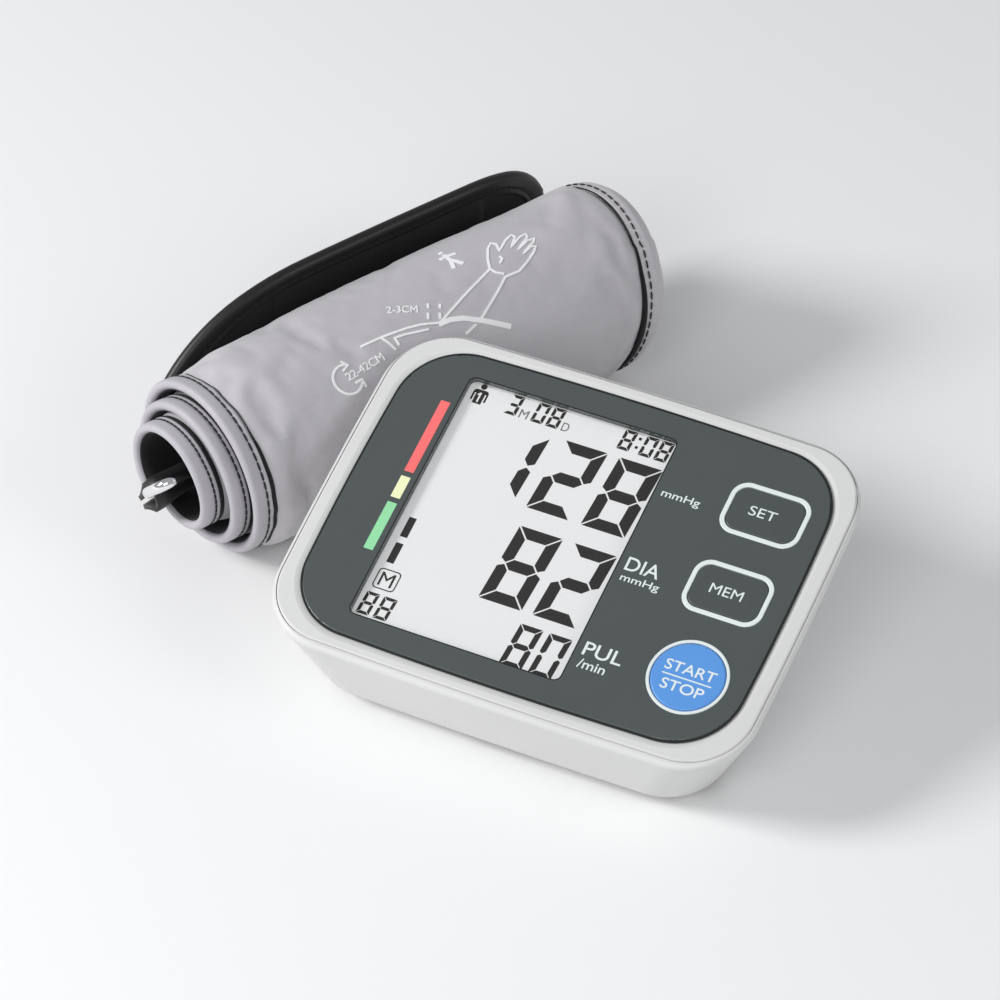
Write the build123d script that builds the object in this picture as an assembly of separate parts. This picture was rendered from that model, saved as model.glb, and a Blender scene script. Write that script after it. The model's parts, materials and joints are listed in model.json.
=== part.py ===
from build123d import *
import math
import os

# Blood pressure monitor with its rolled upper-arm cuff. Millimetres, +Z up.
# Origin: on the table, under the centre of the whole set. The user sits on the -Y side.

# ---- monitor: driving dimensions -------------------------------------------------
MONITOR_X = 31.0          # centre of the sloping face, in plan
MONITOR_Y = -43.2
FACE_HEIGHT = 39.5        # centre of the sloping face above the table
TILT = 20.0               # slope of the face
FACE_W = 133.0
FACE_D = 98.0
RIM_RADIUS = 18.5
BOW = 0.8                 # how far the long sides bulge
RIM_WIDTH = 1.8           # rim of the lower housing seen around the cover
RIM_LEVEL = -0.2
RIM_ROUND = 1.3
WALL = 2.4
FOOT_HEIGHT = 2.0
SIDE_LEAN = 0.455         # side walls lean in this much per unit of depth
BACK_LEAN = 0.577
LOFT_DEPTH = 56.0
BASE_ROUND = 5.5
FIT = 0.15                # gap between mating housing pieces
FEET = [(-42.0, -22.0), (42.0, -22.0), (-35.8, 20.0), (35.8, 20.0)]

COVER_THICK = 3.0
PANEL_W = 119.0
PANEL_D = 86.4
PANEL_RADIUS = 17.0
PANEL_BOW = 1.2
PANEL_THICK = 1.7
PANEL_TOP = 0.3           # height of the panel over the cover's border
POCKET_FLOOR = PANEL_TOP - PANEL_THICK - 0.05

WINDOW_W = 57.5
WINDOW_H = 72.7
WINDOW_X = -14.05
WINDOW_Y = -0.05
LCD_W = 63.0
LCD_H = 77.0
LCD_TOP = -1.9
LCD_THICK = 2.4

POST_X = (-51.5, 51.5)
POST_Y = -36.5
BOARD_TOP = -7.0
BOARD_THICK = 1.6
BOARD_POSTS = [(-50.5, 10.0), (-50.5, -20.0), (25.5, 10.0), (55.0, 12.0)]
SWITCH_TOP = -5.5

# ---- buttons ----------------------------------------------------------------------
KEY_W = 18.5
KEY_H = 12.3
KEY_RADIUS = 3.2
RING_BORDER = 1.25
KEY_GAP = 0.15
SET_AT = (43.8, 23.7)
MEMORY_AT = (43.9, 0.3)
START_AT = (44.1, -24.5)
START_RADIUS = 9.3
START_BORDER = 0.85
KEY_TRAVEL = 0.6

# ---- battery bay --------------------------------------------------------------------
CELL_R = 7.1
CELL_LENGTH = 50.0
CELL_PITCH = 14.7
BAY_X = 28.5              # half width inside
BAY_FRONT = -31.2
BAY_BACK = 30.0
BAY_ROOF = 18.9
BAY_WALL = 1.2
DOOR_LOW = 2.6
DOOR_THICK = 1.8

# ---- air line -------------------------------------------------------------------------
PUMP_Y = 27.5
PUMP_Z = 29.7
MOTOR_R = 8.5
AIR_Y = 24.0
AIR_Z = 25.0
SOCKET_X = -29.0
POWER_X = -13.0
VALVE_X = -19.0
BACK_FACE = 42.2          # outer face of the sockets
SOCKET_BACK = 34.0
VALVE_BACK = 13.6
SENSOR_AT = (-43.0, 2.0)

# ---- cuff: driving dimensions ----------------------------------------------------------
CUFF_X = -72.1            # left end of the roll's axis, in plan
CUFF_Y = -42.5
CUFF_ANGLE = 64.2         # direction of the roll's axis from +X
CUFF_WIDTH = 135.0
CORE_R = 11.8             # free radius in the middle of the roll
PITCH = 4.2               # growth of the radius per full turn
STRIP = 3.2               # thickness of the cuff
HALF_TURNS = 6
BLADDER_TURNS = (2, 3, 4)
START_ANGLE = -50.0       # where the half turns meet
TELESCOPE = 12.5          # how far the innermost turn stands out at the left
LINING = 0.9
OUTER_FROM = 2.2
BINDING = 3.0
FLAP_R = 32.0
FLAP_THICK = 2.6
FLAP_START = -59.0
FLAP_END = 30.0
PORT_X = 86.7
RING_WIRE = 1.5
RING_WIDTH = 12.0
RING_LENGTH = 140.0
RING_TILT = -45.0         # slope of the ring's plane across the roll
LOOP_ANGLE = -48.0        # where the webbing loop leaves the roll's inner end
LOOP_AT = 6.6             # from the core's middle to the ring's held side
LOOP_R = 3.3

FACE = Pos(MONITOR_X, MONITOR_Y, FACE_HEIGHT) * Rot(TILT, 0, 0)
MONITOR = Pos(MONITOR_X, MONITOR_Y, 0)
CUFF = Pos(CUFF_X, CUFF_Y, 0) * Rot(0, 0, CUFF_ANGLE)


def write(name, *shapes):
    """Write one node, from one solid or a group of separate solids."""
    solids = [solid for shape in shapes for solid in shape.solids()]
    whole = solids[0] if len(solids) == 1 else Compound(children=solids)
    export_step(whole, f"parts/{name}.step")


def box(x0, x1, y0, y1, z0, z1):
    """A box given by its limits."""
    centre = Pos((x0 + x1) / 2, (y0 + y1) / 2, (z0 + z1) / 2)
    return centre * Box(x1 - x0, y1 - y0, z1 - z0)


def rod_x(radius, x0, x1, y, z):
    """A round bar along X."""
    return Pos((x0 + x1) / 2, y, z) * Rot(0, 90, 0) * Cylinder(radius, x1 - x0)


def rod_y(radius, y0, y1, x, z):
    """A round bar along Y."""
    return Pos(x, (y0 + y1) / 2, z) * Rot(90, 0, 0) * Cylinder(radius, y1 - y0)


def rod_z(radius, z0, z1, x, y):
    """A round bar along Z."""
    return Pos(x, y, (z0 + z1) / 2) * Cylinder(radius, z1 - z0)


def bowed_rectangle(width, depth, radius, bow):
    """A face with four slightly bulging sides and round corners."""
    w = width / 2
    d = depth / 2
    corners = [(bow - w, bow - d), (w - bow, bow - d), (w - bow, d - bow), (bow - w, d - bow)]
    middles = [(0, -d), (w, 0), (0, d), (-w, 0)]
    sides = [ThreePointArc(corners[i], middles[i], corners[(i + 1) % 4]) for i in range(4)]
    face = make_face(sides)
    return fillet(face.vertices(), radius)


def slab(face, low, high):
    """A face pulled into a plate between two levels."""
    return Pos(0, 0, low) * extrude(face, amount=high - low)


def rounded(width, height, radius, low, high, at=(0, 0)):
    """A plate with round corners between two levels."""
    return Pos(at[0], at[1], 0) * slab(RectangleRounded(width, height, radius), low, high)


def tub(inset, floor):
    """Solid of the lower housing's outline, drawn in by inset, above the level floor."""
    top = bowed_rectangle(FACE_W - 2 * inset, FACE_D - 2 * inset, RIM_RADIUS - inset, BOW)
    low_w = FACE_W - 2 * SIDE_LEAN * LOFT_DEPTH - 2 * inset
    low_d = FACE_D - BACK_LEAN * LOFT_DEPTH - 2 * inset
    low = bowed_rectangle(low_w, low_d, RIM_RADIUS - inset, BOW)
    low_at = Pos(0, -BACK_LEAN * LOFT_DEPTH / 2, -LOFT_DEPTH)
    body = loft([top, low_at * low], ruled=True)
    if inset == 0:
        body -= box(-90, 90, -70, 70, RIM_LEVEL, 5)
        body = fillet(body.edges().group_by(Axis.Z)[-1], RIM_ROUND)
    body = FACE * body
    body -= MONITOR * box(-100, 100, -100, 100, -60, floor)
    base = body.edges().group_by(Axis.Z)[0]
    return fillet(base, BASE_ROUND - inset)


def battery_bay():
    """Outside block of the battery bay inside the lower housing."""
    side = BAY_X + 1.7
    return box(-side, side, BAY_FRONT - 1.7, BAY_BACK + 1.7, FOOT_HEIGHT, BAY_ROOF + BAY_WALL)


def pump_seat():
    """Low ribs on the bay's roof that carry the pump."""
    ribs = [box(x, x + 1.6, PUMP_Y - 6, PUMP_Y + 3, BAY_ROOF, PUMP_Z - 5) for x in (11.0, 25.0)]
    shape = ribs[0] + ribs[1]
    return shape - rod_x(MOTOR_R + 0.1, 0, 40, PUMP_Y, PUMP_Z)


def lower_housing():
    outside = tub(0, FOOT_HEIGHT)
    inside = tub(WALL, FOOT_HEIGHT + WALL)
    shell = outside - inside
    seat = bowed_rectangle(FACE_W - 2 * RIM_WIDTH, FACE_D - 2 * RIM_WIDTH, RIM_RADIUS - RIM_WIDTH, BOW)
    shell -= FACE * slab(seat, -COVER_THICK, 5)
    shell += MONITOR * battery_bay()
    shell += MONITOR * pump_seat()
    for x in POST_X:
        post = rod_z(3.4, -30, -9.2, x, POST_Y)
        shell += (FACE * post) & outside
    shell -= MONITOR * box(-BAY_X, BAY_X, BAY_FRONT, BAY_BACK, 0, BAY_ROOF)
    shell -= MONITOR * box(-8, 8, BAY_FRONT - 4.5, BAY_FRONT + 1, 0, FOOT_HEIGHT + 1.2)
    shell -= MONITOR * rod_x(0.75, -BAY_X - 1.45, BAY_X + 1.45, BAY_BACK - 1.05, DOOR_LOW + DOOR_THICK / 2)
    for x in POST_X:
        shell -= FACE * rod_z(1.7, -16, -9, x, POST_Y)
        shell -= FACE * rod_z(3.1, -40, -12.4, x, POST_Y)
    shell -= MONITOR * rod_y(5.65, 30, 50, SOCKET_X, AIR_Z)
    shell -= MONITOR * box(POWER_X - 5.1, POWER_X + 5.1, 30, 50, AIR_Z - 5.1, AIR_Z + 5.1)
    for x, y in FEET:
        shell -= MONITOR * rod_z(4.1, 0, FOOT_HEIGHT + 0.6, x, y)
    return shell


def locating_lip():
    """Low wall under the cover that centres it inside the leaning walls of the lower housing."""
    low = -4.2
    width = FACE_W - 2 * WALL + 2 * SIDE_LEAN * low - 0.8
    depth = FACE_D - 2 * WALL + BACK_LEAN * low - 0.8
    radius = RIM_RADIUS - WALL - 1.5
    outer = slab(bowed_rectangle(width, depth, radius, BOW), low, -COVER_THICK + 0.5)
    inner = slab(bowed_rectangle(width - 3.0, depth - 3.0, radius - 1.5, BOW), low, -COVER_THICK + 0.5)
    return Pos(0, BACK_LEAN * low / 2, 0) * (outer - inner)


def upper_housing():
    plate = bowed_rectangle(FACE_W - 2 * RIM_WIDTH - 2 * FIT, FACE_D - 2 * RIM_WIDTH - 2 * FIT,
                            RIM_RADIUS - RIM_WIDTH - FIT, BOW)
    cover = slab(plate, -COVER_THICK + 0.05, 0)
    cover = fillet(cover.edges().group_by(Axis.Z)[-1], 0.6)
    cover += locating_lip()
    pocket = bowed_rectangle(PANEL_W + 0.5, PANEL_D + 0.5, PANEL_RADIUS + 0.25, PANEL_BOW)
    cover -= slab(pocket, POCKET_FLOOR, 5)
    wide = bowed_rectangle(PANEL_W + 4.0, PANEL_D + 4.0, PANEL_RADIUS + 2, PANEL_BOW)
    bevel = loft([Pos(0, 0, -0.55) * pocket, wide], ruled=True)
    cover -= bevel
    cover -= Pos(WINDOW_X, WINDOW_Y, 0) * box(-LCD_W / 2 - 0.4, LCD_W / 2 + 0.4,
                                            -LCD_H / 2 - 0.4, LCD_H / 2 + 0.4, -5, 0)
    for at in (SET_AT, MEMORY_AT):
        cover -= rounded(KEY_W + 3.2, KEY_H + 3.2, KEY_RADIUS + 1.6, -5, 0, at)
    cover -= rod_z(START_RADIUS + 1.3, -5, 0, *START_AT)
    for x in POST_X:
        cover += rod_z(3.3, -9.0, -COVER_THICK + 0.5, x, POST_Y) - rod_z(1.45, -9.0, -4.0, x, POST_Y)
    for at in BOARD_POSTS:
        cover += rod_z(2.4, BOARD_TOP + 0.02, -COVER_THICK + 0.5, *at) - rod_z(1.05, BOARD_TOP, -4.0, *at)
    return FACE * cover


def face_panel():
    shape = slab(bowed_rectangle(PANEL_W, PANEL_D, PANEL_RADIUS, PANEL_BOW), PANEL_TOP - PANEL_THICK, PANEL_TOP)
    shape = fillet(shape.edges().group_by(Axis.Z)[-1], 0.35)
    shape -= rounded(WINDOW_W, WINDOW_H, 1.8, -5, 5, (WINDOW_X, WINDOW_Y))
    for at in (SET_AT, MEMORY_AT):
        shape -= rounded(key_ring_size(KEY_W) + 0.1, key_ring_size(KEY_H) + 0.1,
                         KEY_RADIUS + RING_BORDER, -5, 5, at)
    shape -= rod_z(START_RADIUS + KEY_GAP + START_BORDER + 0.05, -5, 5, *START_AT)
    return FACE * shape


def key_ring_size(cap):
    """Outer size of the trim ring round a cap of the given size."""
    return cap + 2 * KEY_GAP + 2 * RING_BORDER


def display_lens():
    return FACE * rounded(WINDOW_W - 0.1, WINDOW_H - 0.1, 1.75, PANEL_TOP - PANEL_THICK, -0.1,
                          (WINDOW_X, WINDOW_Y))


def lcd_glass():
    at = Pos(WINDOW_X, WINDOW_Y, 0)
    back = box(-LCD_W / 2, LCD_W / 2, -LCD_H / 2, LCD_H / 2, LCD_TOP - LCD_THICK, LCD_TOP - 1.0)
    front = box(-LCD_W / 2, LCD_W / 2, -LCD_H / 2, LCD_H / 2 - 2.5, LCD_TOP - 1.0, LCD_TOP)
    return FACE * at * (back + front)


def lcd_frame():
    at = Pos(WINDOW_X, WINDOW_Y, 0)
    low = LCD_TOP - LCD_THICK - 1.0
    frame = box(-32.5, 32.5, -41.0, 41.0, low, -COVER_THICK)
    frame -= box(-31.6, 31.6, -38.6, 38.6, LCD_TOP - LCD_THICK - 0.05, 0)
    frame -= box(-29.0, 29.0, -36.0, 36.0, -20, 0)
    return FACE * at * frame


def display_flex():
    """Thin ribbon from the display's upper edge down to the board."""
    start = (35.8, LCD_TOP - LCD_THICK - 0.3)
    path = [start, (30.0, -6.0), (16.0, -6.4), (11.5, BOARD_TOP + 0.05)]
    upper = [(y, z + 0.25) for y, z in reversed(path)]
    outline = Polyline(*path, *upper, close=True)
    ribbon = extrude(Plane.YZ * make_face(outline), amount=44)
    return FACE * Pos(WINDOW_X - 22, 0, 0) * ribbon


def main_board():
    low = BOARD_TOP - BOARD_THICK
    board = box(-52.5, 58, -24, 14, low, BOARD_TOP) + box(22, 58, -30.5, 30.5, low, BOARD_TOP)
    for at in BOARD_POSTS:
        board -= rod_z(1.1, low - 1, BOARD_TOP + 1, *at)
    return FACE * board


def board_chips():
    """Processor and small packages under the board."""
    low = BOARD_TOP - BOARD_THICK
    places = [(-4.0, -4.0, 12.0, 12.0, 1.6), (14.0, -12.0, 6.0, 5.0, 1.5), (34.0, 2.0, 5.0, 7.0, 1.5)]
    return [FACE * box(x, x + w, y, y + d, low - h, low) for x, y, w, d, h in places]


def button_switches():
    low = BOARD_TOP
    shapes = []
    for at in (SET_AT, MEMORY_AT, START_AT):
        body = box(-3, 3, -3, 3, low, low + 1.0) + rod_z(1.7, low, SWITCH_TOP, 0, 0)
        shapes.append(FACE * Pos(at[0], at[1], 0) * body)
    return shapes


def key_ring(at):
    """Pale raised line round a rectangular key."""
    ring = rounded(key_ring_size(KEY_W), key_ring_size(KEY_H), KEY_RADIUS + RING_BORDER, -1.2, 0.55)
    ring -= rounded(KEY_W + 2 * KEY_GAP, KEY_H + 2 * KEY_GAP, KEY_RADIUS + KEY_GAP, -5, 5)
    ring = fillet(ring.edges().group_by(Axis.Z)[-1], 0.25)
    return FACE * Pos(at[0], at[1], 0) * ring


def start_ring():
    inner = START_RADIUS + KEY_GAP
    ring = rod_z(inner + START_BORDER, -1.2, 0.55, 0, 0) - rod_z(inner, -5, 5, 0, 0)
    ring = fillet(ring.edges().group_by(Axis.Z)[-1], 0.22)
    return FACE * Pos(START_AT[0], START_AT[1], 0) * ring


def key_cap(at):
    """A rectangular key with the flange that keeps it in and its stem."""
    cap = rounded(KEY_W, KEY_H, KEY_RADIUS, -2.0, 0.45)
    cap = fillet(cap.edges().group_by(Axis.Z)[-1], 0.4)
    cap += rounded(KEY_W + 2.0, KEY_H + 2.0, KEY_RADIUS + 1, -2.6, -1.75)
    cap += rod_z(1.6, SWITCH_TOP + KEY_TRAVEL + 0.1, -2.0, 0, 0)
    return FACE * Pos(at[0], at[1], 0) * cap


def start_cap():
    cap = rod_z(START_RADIUS, -2.0, 0.55, 0, 0)
    cap = fillet(cap.edges().group_by(Axis.Z)[-1], 0.5)
    cap += rod_z(START_RADIUS + 0.9, -2.6, -1.75, 0, 0)
    cap += rod_z(1.6, SWITCH_TOP + KEY_TRAVEL + 0.1, -2.0, 0, 0)
    return FACE * Pos(START_AT[0], START_AT[1], 0) * cap


def board_screws():
    low = BOARD_TOP - BOARD_THICK
    shapes = []
    for at in BOARD_POSTS:
        screw = rod_z(1.0, low, -4.2, *at) + rod_z(1.9, low - 1.3, low, *at)
        screw -= box(at[0] - 1.2, at[0] + 1.2, at[1] - 0.25, at[1] + 0.25, low - 1.3, low - 0.7)
        shapes.append(FACE * screw)
    return shapes


def housing_screws():
    shapes = []
    for x in POST_X:
        screw = rod_z(1.4, -12.4, -4.4, x, POST_Y) + rod_z(2.8, -14.4, -12.4, x, POST_Y)
        screw -= box(x - 1.8, x + 1.8, POST_Y - 0.3, POST_Y + 0.3, -14.4, -13.6)
        screw -= box(x - 0.3, x + 0.3, POST_Y - 1.8, POST_Y + 1.8, -14.4, -13.6)
        shapes.append(FACE * screw)
    return shapes


def rubber_feet():
    return [MONITOR * rod_z(4.0, 0, FOOT_HEIGHT + 0.6, x, y) for x, y in FEET]


def battery_cover():
    middle = DOOR_LOW + DOOR_THICK / 2
    top = DOOR_LOW + DOOR_THICK
    hinge_y = BAY_BACK - 1.05
    half = BAY_X - 0.2
    door = box(-half, half, BAY_FRONT + 0.4, hinge_y, DOOR_LOW, top)
    door += rod_x(DOOR_THICK / 2, -half, half, hinge_y, middle)
    door += rod_x(0.7, -half - 1.3, half + 1.3, hinge_y, middle)
    door += box(-7, 7, BAY_FRONT + 0.4, BAY_FRONT + 1.1, top - 0.2, top + 4.6)
    for x in range(-6, 7, 3):
        door -= box(x - 0.5, x + 0.5, BAY_FRONT + 2.5, BAY_FRONT + 9.5, 0, DOOR_LOW + 0.35)
    return MONITOR * door


def cell_rows():
    """Y of each cell's axis, front to back."""
    middle = (BAY_FRONT + BAY_BACK) / 2 + 0.2
    return [middle + CELL_PITCH * (i - 1.5) for i in range(4)]


def cell_height():
    return DOOR_LOW + DOOR_THICK + 0.2 + CELL_R


def battery_cells():
    shapes = []
    for i, y in enumerate(cell_rows()):
        way = 1 if i % 2 == 0 else -1
        half = CELL_LENGTH / 2
        cell = rod_x(CELL_R, -half, half - 1.2, 0, 0)
        cell = fillet(cell.edges().filter_by(GeomType.CIRCLE), 0.5)
        cell += rod_x(2.6, half - 1.3, half, 0, 0)
        shapes.append(MONITOR * Pos(0, y, cell_height()) * Rot(0, 0, 0 if way > 0 else 180) * cell)
    return shapes


def battery_contacts():
    """Flat plates at the cells' positive ends and backing plates at the others."""
    shapes = []
    for y in cell_rows():
        for side in (-1, 1):
            x = side * (BAY_X - 0.35)
            shapes.append(MONITOR * box(x - 0.3, x + 0.3, y - 5, y + 5, cell_height() - 5, cell_height() + 5))
    return shapes


def battery_springs():
    """Coil springs that press on the cells' negative ends."""
    shapes = []
    for i, y in enumerate(cell_rows()):
        spring = Pos(0, 0, 0.55) * coil_spring()
        turn = Rot(0, 90, 0) if i % 2 == 0 else Rot(0, -90, 0)
        side = -1 if i % 2 == 0 else 1
        shapes.append(MONITOR * Pos(side * (BAY_X - 0.65), y, cell_height()) * turn * spring)
    return shapes


def coil_spring():
    """Short coil of six-sided wire."""
    coil = Helix(pitch=1.0, height=1.9, radius=3.4)
    wire = Plane(origin=coil @ 0, z_dir=coil % 0) * RegularPolygon(0.33, 6)
    return sweep(wire, path=coil, is_frenet=True)


def pump_motor():
    motor = rod_x(MOTOR_R, 8.1, 30.0, 0, 0)
    motor = fillet(motor.edges().filter_by(GeomType.CIRCLE), 0.8)
    motor += rod_x(3.0, 29.9, 31.5, 0, 0)
    return MONITOR * Pos(0, PUMP_Y, PUMP_Z) * motor


def pump_head():
    head = box(-4, 8, PUMP_Y - MOTOR_R, PUMP_Y + MOTOR_R, PUMP_Z - MOTOR_R, PUMP_Z + MOTOR_R)
    head = fillet(head.edges().filter_by(Axis.X), 2.0)
    head += rod_x(2.0, -8.0, -3.9, AIR_Y, AIR_Z)
    head -= rod_x(0.9, -9.0, 2.0, AIR_Y, AIR_Z)
    return MONITOR * head


def pump_strap():
    """Clip that holds the motor down on its ribs."""
    strap = rod_x(MOTOR_R + 1.1, 15, 21, PUMP_Y, PUMP_Z)
    strap += box(15, 21, PUMP_Y - MOTOR_R - 1.1, PUMP_Y + MOTOR_R + 1.1, BAY_ROOF + BAY_WALL + 0.02, PUMP_Z)
    strap -= rod_x(MOTOR_R + 0.05, 10, 30, PUMP_Y, PUMP_Z)
    strap -= box(10, 30, PUMP_Y - MOTOR_R - 0.05, PUMP_Y + MOTOR_R + 0.05, 10, PUMP_Z)
    return MONITOR * strap


def air_manifold():
    pipe = rod_x(3.0, -36, -12, AIR_Y, AIR_Z)
    pipe += rod_x(2.0, -40, -8.4, AIR_Y, AIR_Z)
    pipe += rod_y(2.0, AIR_Y, AIR_Y + 5.6, SOCKET_X, AIR_Z)
    pipe += rod_y(2.0, AIR_Y - 6.8, AIR_Y, VALVE_X, AIR_Z)
    pipe -= rod_x(1.1, -41, -8, AIR_Y, AIR_Z)
    pipe -= rod_y(1.0, AIR_Y, AIR_Y + 6, SOCKET_X, AIR_Z)
    pipe -= rod_y(1.0, AIR_Y - 7, AIR_Y, VALVE_X, AIR_Z)
    return MONITOR * pipe


def sleeve_x(x0, x1, y, z):
    return rod_x(3.2, x0, x1, y, z) - rod_x(2.05, x0, x1, y, z)


def sleeve_y(y0, y1, x, z):
    return rod_y(3.2, y0, y1, x, z) - rod_y(2.05, y0, y1, x, z)


def sensor_nipple():
    """Lower end of the pressure sensor's nipple, in the monitor's own upright frame."""
    low = BOARD_TOP - BOARD_THICK - 8.0
    tilt = math.radians(TILT)
    y = SENSOR_AT[1] * math.cos(tilt) - low * math.sin(tilt)
    z = FACE_HEIGHT + SENSOR_AT[1] * math.sin(tilt) + low * math.cos(tilt)
    return y, z


def air_tubes():
    """Short silicone sleeves over the nipples, and the bent one to the sensor."""
    shapes = [MONITOR * sleeve_x(-11.9, -4.1, AIR_Y, AIR_Z)]
    shapes.append(MONITOR * sleeve_y(AIR_Y + 3.1, SOCKET_BACK - 0.1, SOCKET_X, AIR_Z))
    shapes.append(MONITOR * sleeve_y(VALVE_BACK + 0.1, AIR_Y - 3.1, VALVE_X, AIR_Z))
    y, z = sensor_nipple()
    tilt = math.radians(TILT)
    down = (0, math.sin(tilt), -math.cos(tilt))
    top = (SENSOR_AT[0], y - 3 * down[1], z - 3 * down[2])
    corner = (SENSOR_AT[0], y + 2.2 * down[1], z + 2.2 * down[2])
    path = FilletPolyline((-36.2, AIR_Y, AIR_Z), (SENSOR_AT[0], AIR_Y, AIR_Z), corner, top, radius=2.8)
    ring = Plane(origin=path @ 0, z_dir=path % 0) * (Circle(3.2 * 0.8) - Circle(2.05))
    shapes.append(MONITOR * sweep(ring, path=path))
    return shapes


def release_valve():
    front = VALVE_BACK - 12.0
    body = box(VALVE_X - 6, VALVE_X + 6, front, VALVE_BACK, BAY_ROOF + BAY_WALL + 0.02, 28.8)
    body = fillet(body.edges().filter_by(Axis.Y), 1.0)
    body += rod_y(2.0, VALVE_BACK - 0.1, VALVE_BACK + 3.2, VALVE_X, AIR_Z)
    body -= rod_y(0.9, front + 6, VALVE_BACK + 4, VALVE_X, AIR_Z)
    return MONITOR * body


def pressure_sensor():
    low = BOARD_TOP - BOARD_THICK
    x, y = SENSOR_AT
    body = box(x - 5, x + 5, y - 5, y + 5, low - 3.6, low)
    body += rod_z(2.0, low - 8.0, low - 3.5, x, y)
    body -= rod_z(0.9, low - 9.0, low - 2.0, x, y)
    return FACE * body


def buzzer():
    low = BOARD_TOP - BOARD_THICK
    return FACE * (rod_z(5.5, low - 4.0, low, 48, -12) - rod_z(1.0, low - 5.0, low - 3.0, 48, -12))


def air_socket():
    """Round inlet for the cuff's air plug, in the back wall."""
    shape = rod_y(5.5, SOCKET_BACK, BACK_FACE, SOCKET_X, AIR_Z)
    shape += rod_y(2.0, SOCKET_BACK - 4.0, SOCKET_BACK + 0.1, SOCKET_X, AIR_Z)
    shape -= rod_y(2.4, SOCKET_BACK + 1.4, BACK_FACE + 1, SOCKET_X, AIR_Z)
    shape -= rod_y(0.9, SOCKET_BACK - 5.0, SOCKET_BACK + 2.0, SOCKET_X, AIR_Z)
    return MONITOR * shape


def power_socket():
    """Barrel inlet for the mains adaptor, with its centre pin."""
    shape = box(POWER_X - 5, POWER_X + 5, 32.6, BACK_FACE, AIR_Z - 5, AIR_Z + 5)
    shape -= rod_y(2.9, 34.0, BACK_FACE + 1, POWER_X, AIR_Z)
    shape += rod_y(0.95, 33.5, BACK_FACE - 0.8, POWER_X, AIR_Z)
    return MONITOR * shape


def board_underside(y):
    """Height of the board's lower side at a place in plan, in the monitor's own upright frame."""
    tilt = math.radians(TILT)
    low = BOARD_TOP - BOARD_THICK
    return FACE_HEIGHT + low / math.cos(tilt) + y * math.tan(tilt)


def motor_leads():
    """Two wires from the motor to the board's right part."""
    shapes = []
    for dy in (-2.0, 2.0):
        y = PUMP_Y + dy
        end = y - 14
        path = FilletPolyline((31.6, y, PUMP_Z), (38.0, y, PUMP_Z), (39.5, y - 9, PUMP_Z),
                              (40.0, end, board_underside(end) - 0.5), radius=2.0)
        wire = Plane(origin=path @ 0, z_dir=path % 0) * Circle(0.6)
        shapes.append(MONITOR * sweep(wire, path=path))
    return shapes


# ---- cuff -------------------------------------------------------------------------------

def heading(angle):
    """Unit vector across the roll at an angle: (towards the back, up)."""
    return math.cos(math.radians(angle)), math.sin(math.radians(angle))


def turn_centre(k):
    """Centre of half turn k: the two centres lie half a pitch apart."""
    low = (0.0, CORE_R + PITCH / 2 * (HALF_TURNS - 1) + STRIP)
    if k % 2 == 1:
        return low
    y, z = heading(START_ANGLE)
    return low[0] - PITCH / 2 * y, low[1] - PITCH / 2 * z


def turn_radius(k):
    """Inner radius of the cuff's strip on half turn k."""
    return CORE_R + PITCH / 2 * k


def turn_left(k):
    """Left end of half turn k."""
    return TELESCOPE * (k / (HALF_TURNS - 1) - 1)


def half_ring(centre, inner, outer, start):
    """Half a ring, as a face across the roll."""
    far = CenterArc(centre, outer, start, 180)
    near = CenterArc(centre, inner, start, 180)
    return make_face([far, Line(far @ 1, near @ 1), near, Line(near @ 0, far @ 0)])


def turn(k, low, high, x0, x1):
    """Half turn k of a layer between two depths in the strip, from x0 to x1."""
    radius = turn_radius(k)
    start = START_ANGLE + 180 * (k % 2)
    face = half_ring(turn_centre(k), radius + low, radius + high, start)
    left = turn_left(k)
    return Pos(left + x0, 0, 0) * extrude(Plane.YZ * face, amount=x1 - x0)


def fused(shapes):
    whole = shapes[0]
    for shape in shapes[1:]:
        whole += shape
    return whole


def cuff_fabric():
    turns = []
    for k in range(HALF_TURNS):
        low = OUTER_FROM if k in BLADDER_TURNS else LINING + 0.1
        turns.append(turn(k, low, STRIP, BINDING, CUFF_WIDTH - BINDING))
    return CUFF * fused(turns)


def cuff_lining():
    turns = [turn(k, 0, LINING, BINDING, CUFF_WIDTH - BINDING) for k in range(HALF_TURNS)]
    return CUFF * fused(turns)


def cuff_bladder():
    turns = [turn(k, LINING + 0.1, OUTER_FROM - 0.1, 14, CUFF_WIDTH - 14) for k in BLADDER_TURNS]
    return CUFF * fused(turns)


def edge_binding(x0, x1):
    turns = [turn(k, 0, STRIP, x0, x1) for k in range(HALF_TURNS)]
    return CUFF * fused(turns)


def flap_centre():
    """Centre of the arc along which the loose end stands off the roll."""
    y, z = turn_centre(HALF_TURNS - 1)
    way = heading(START_ANGLE)
    middle = turn_radius(HALF_TURNS - 1) + STRIP / 2
    side = heading(FLAP_START - 1.0)
    return y + middle * way[0] - FLAP_R * side[0], z + middle * way[1] - FLAP_R * side[1]


def arc_band(inner, outer, start, end, x0, x1):
    """A curved plate round the flap's centre."""
    centre = flap_centre()
    far = CenterArc(centre, outer, start, end - start)
    near = CenterArc(centre, inner, start, end - start)
    face = make_face([far, Line(far @ 1, near @ 1), near, Line(near @ 0, far @ 0)])
    return Pos(x0, 0, 0) * extrude(Plane.YZ * face, amount=x1 - x0)


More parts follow.
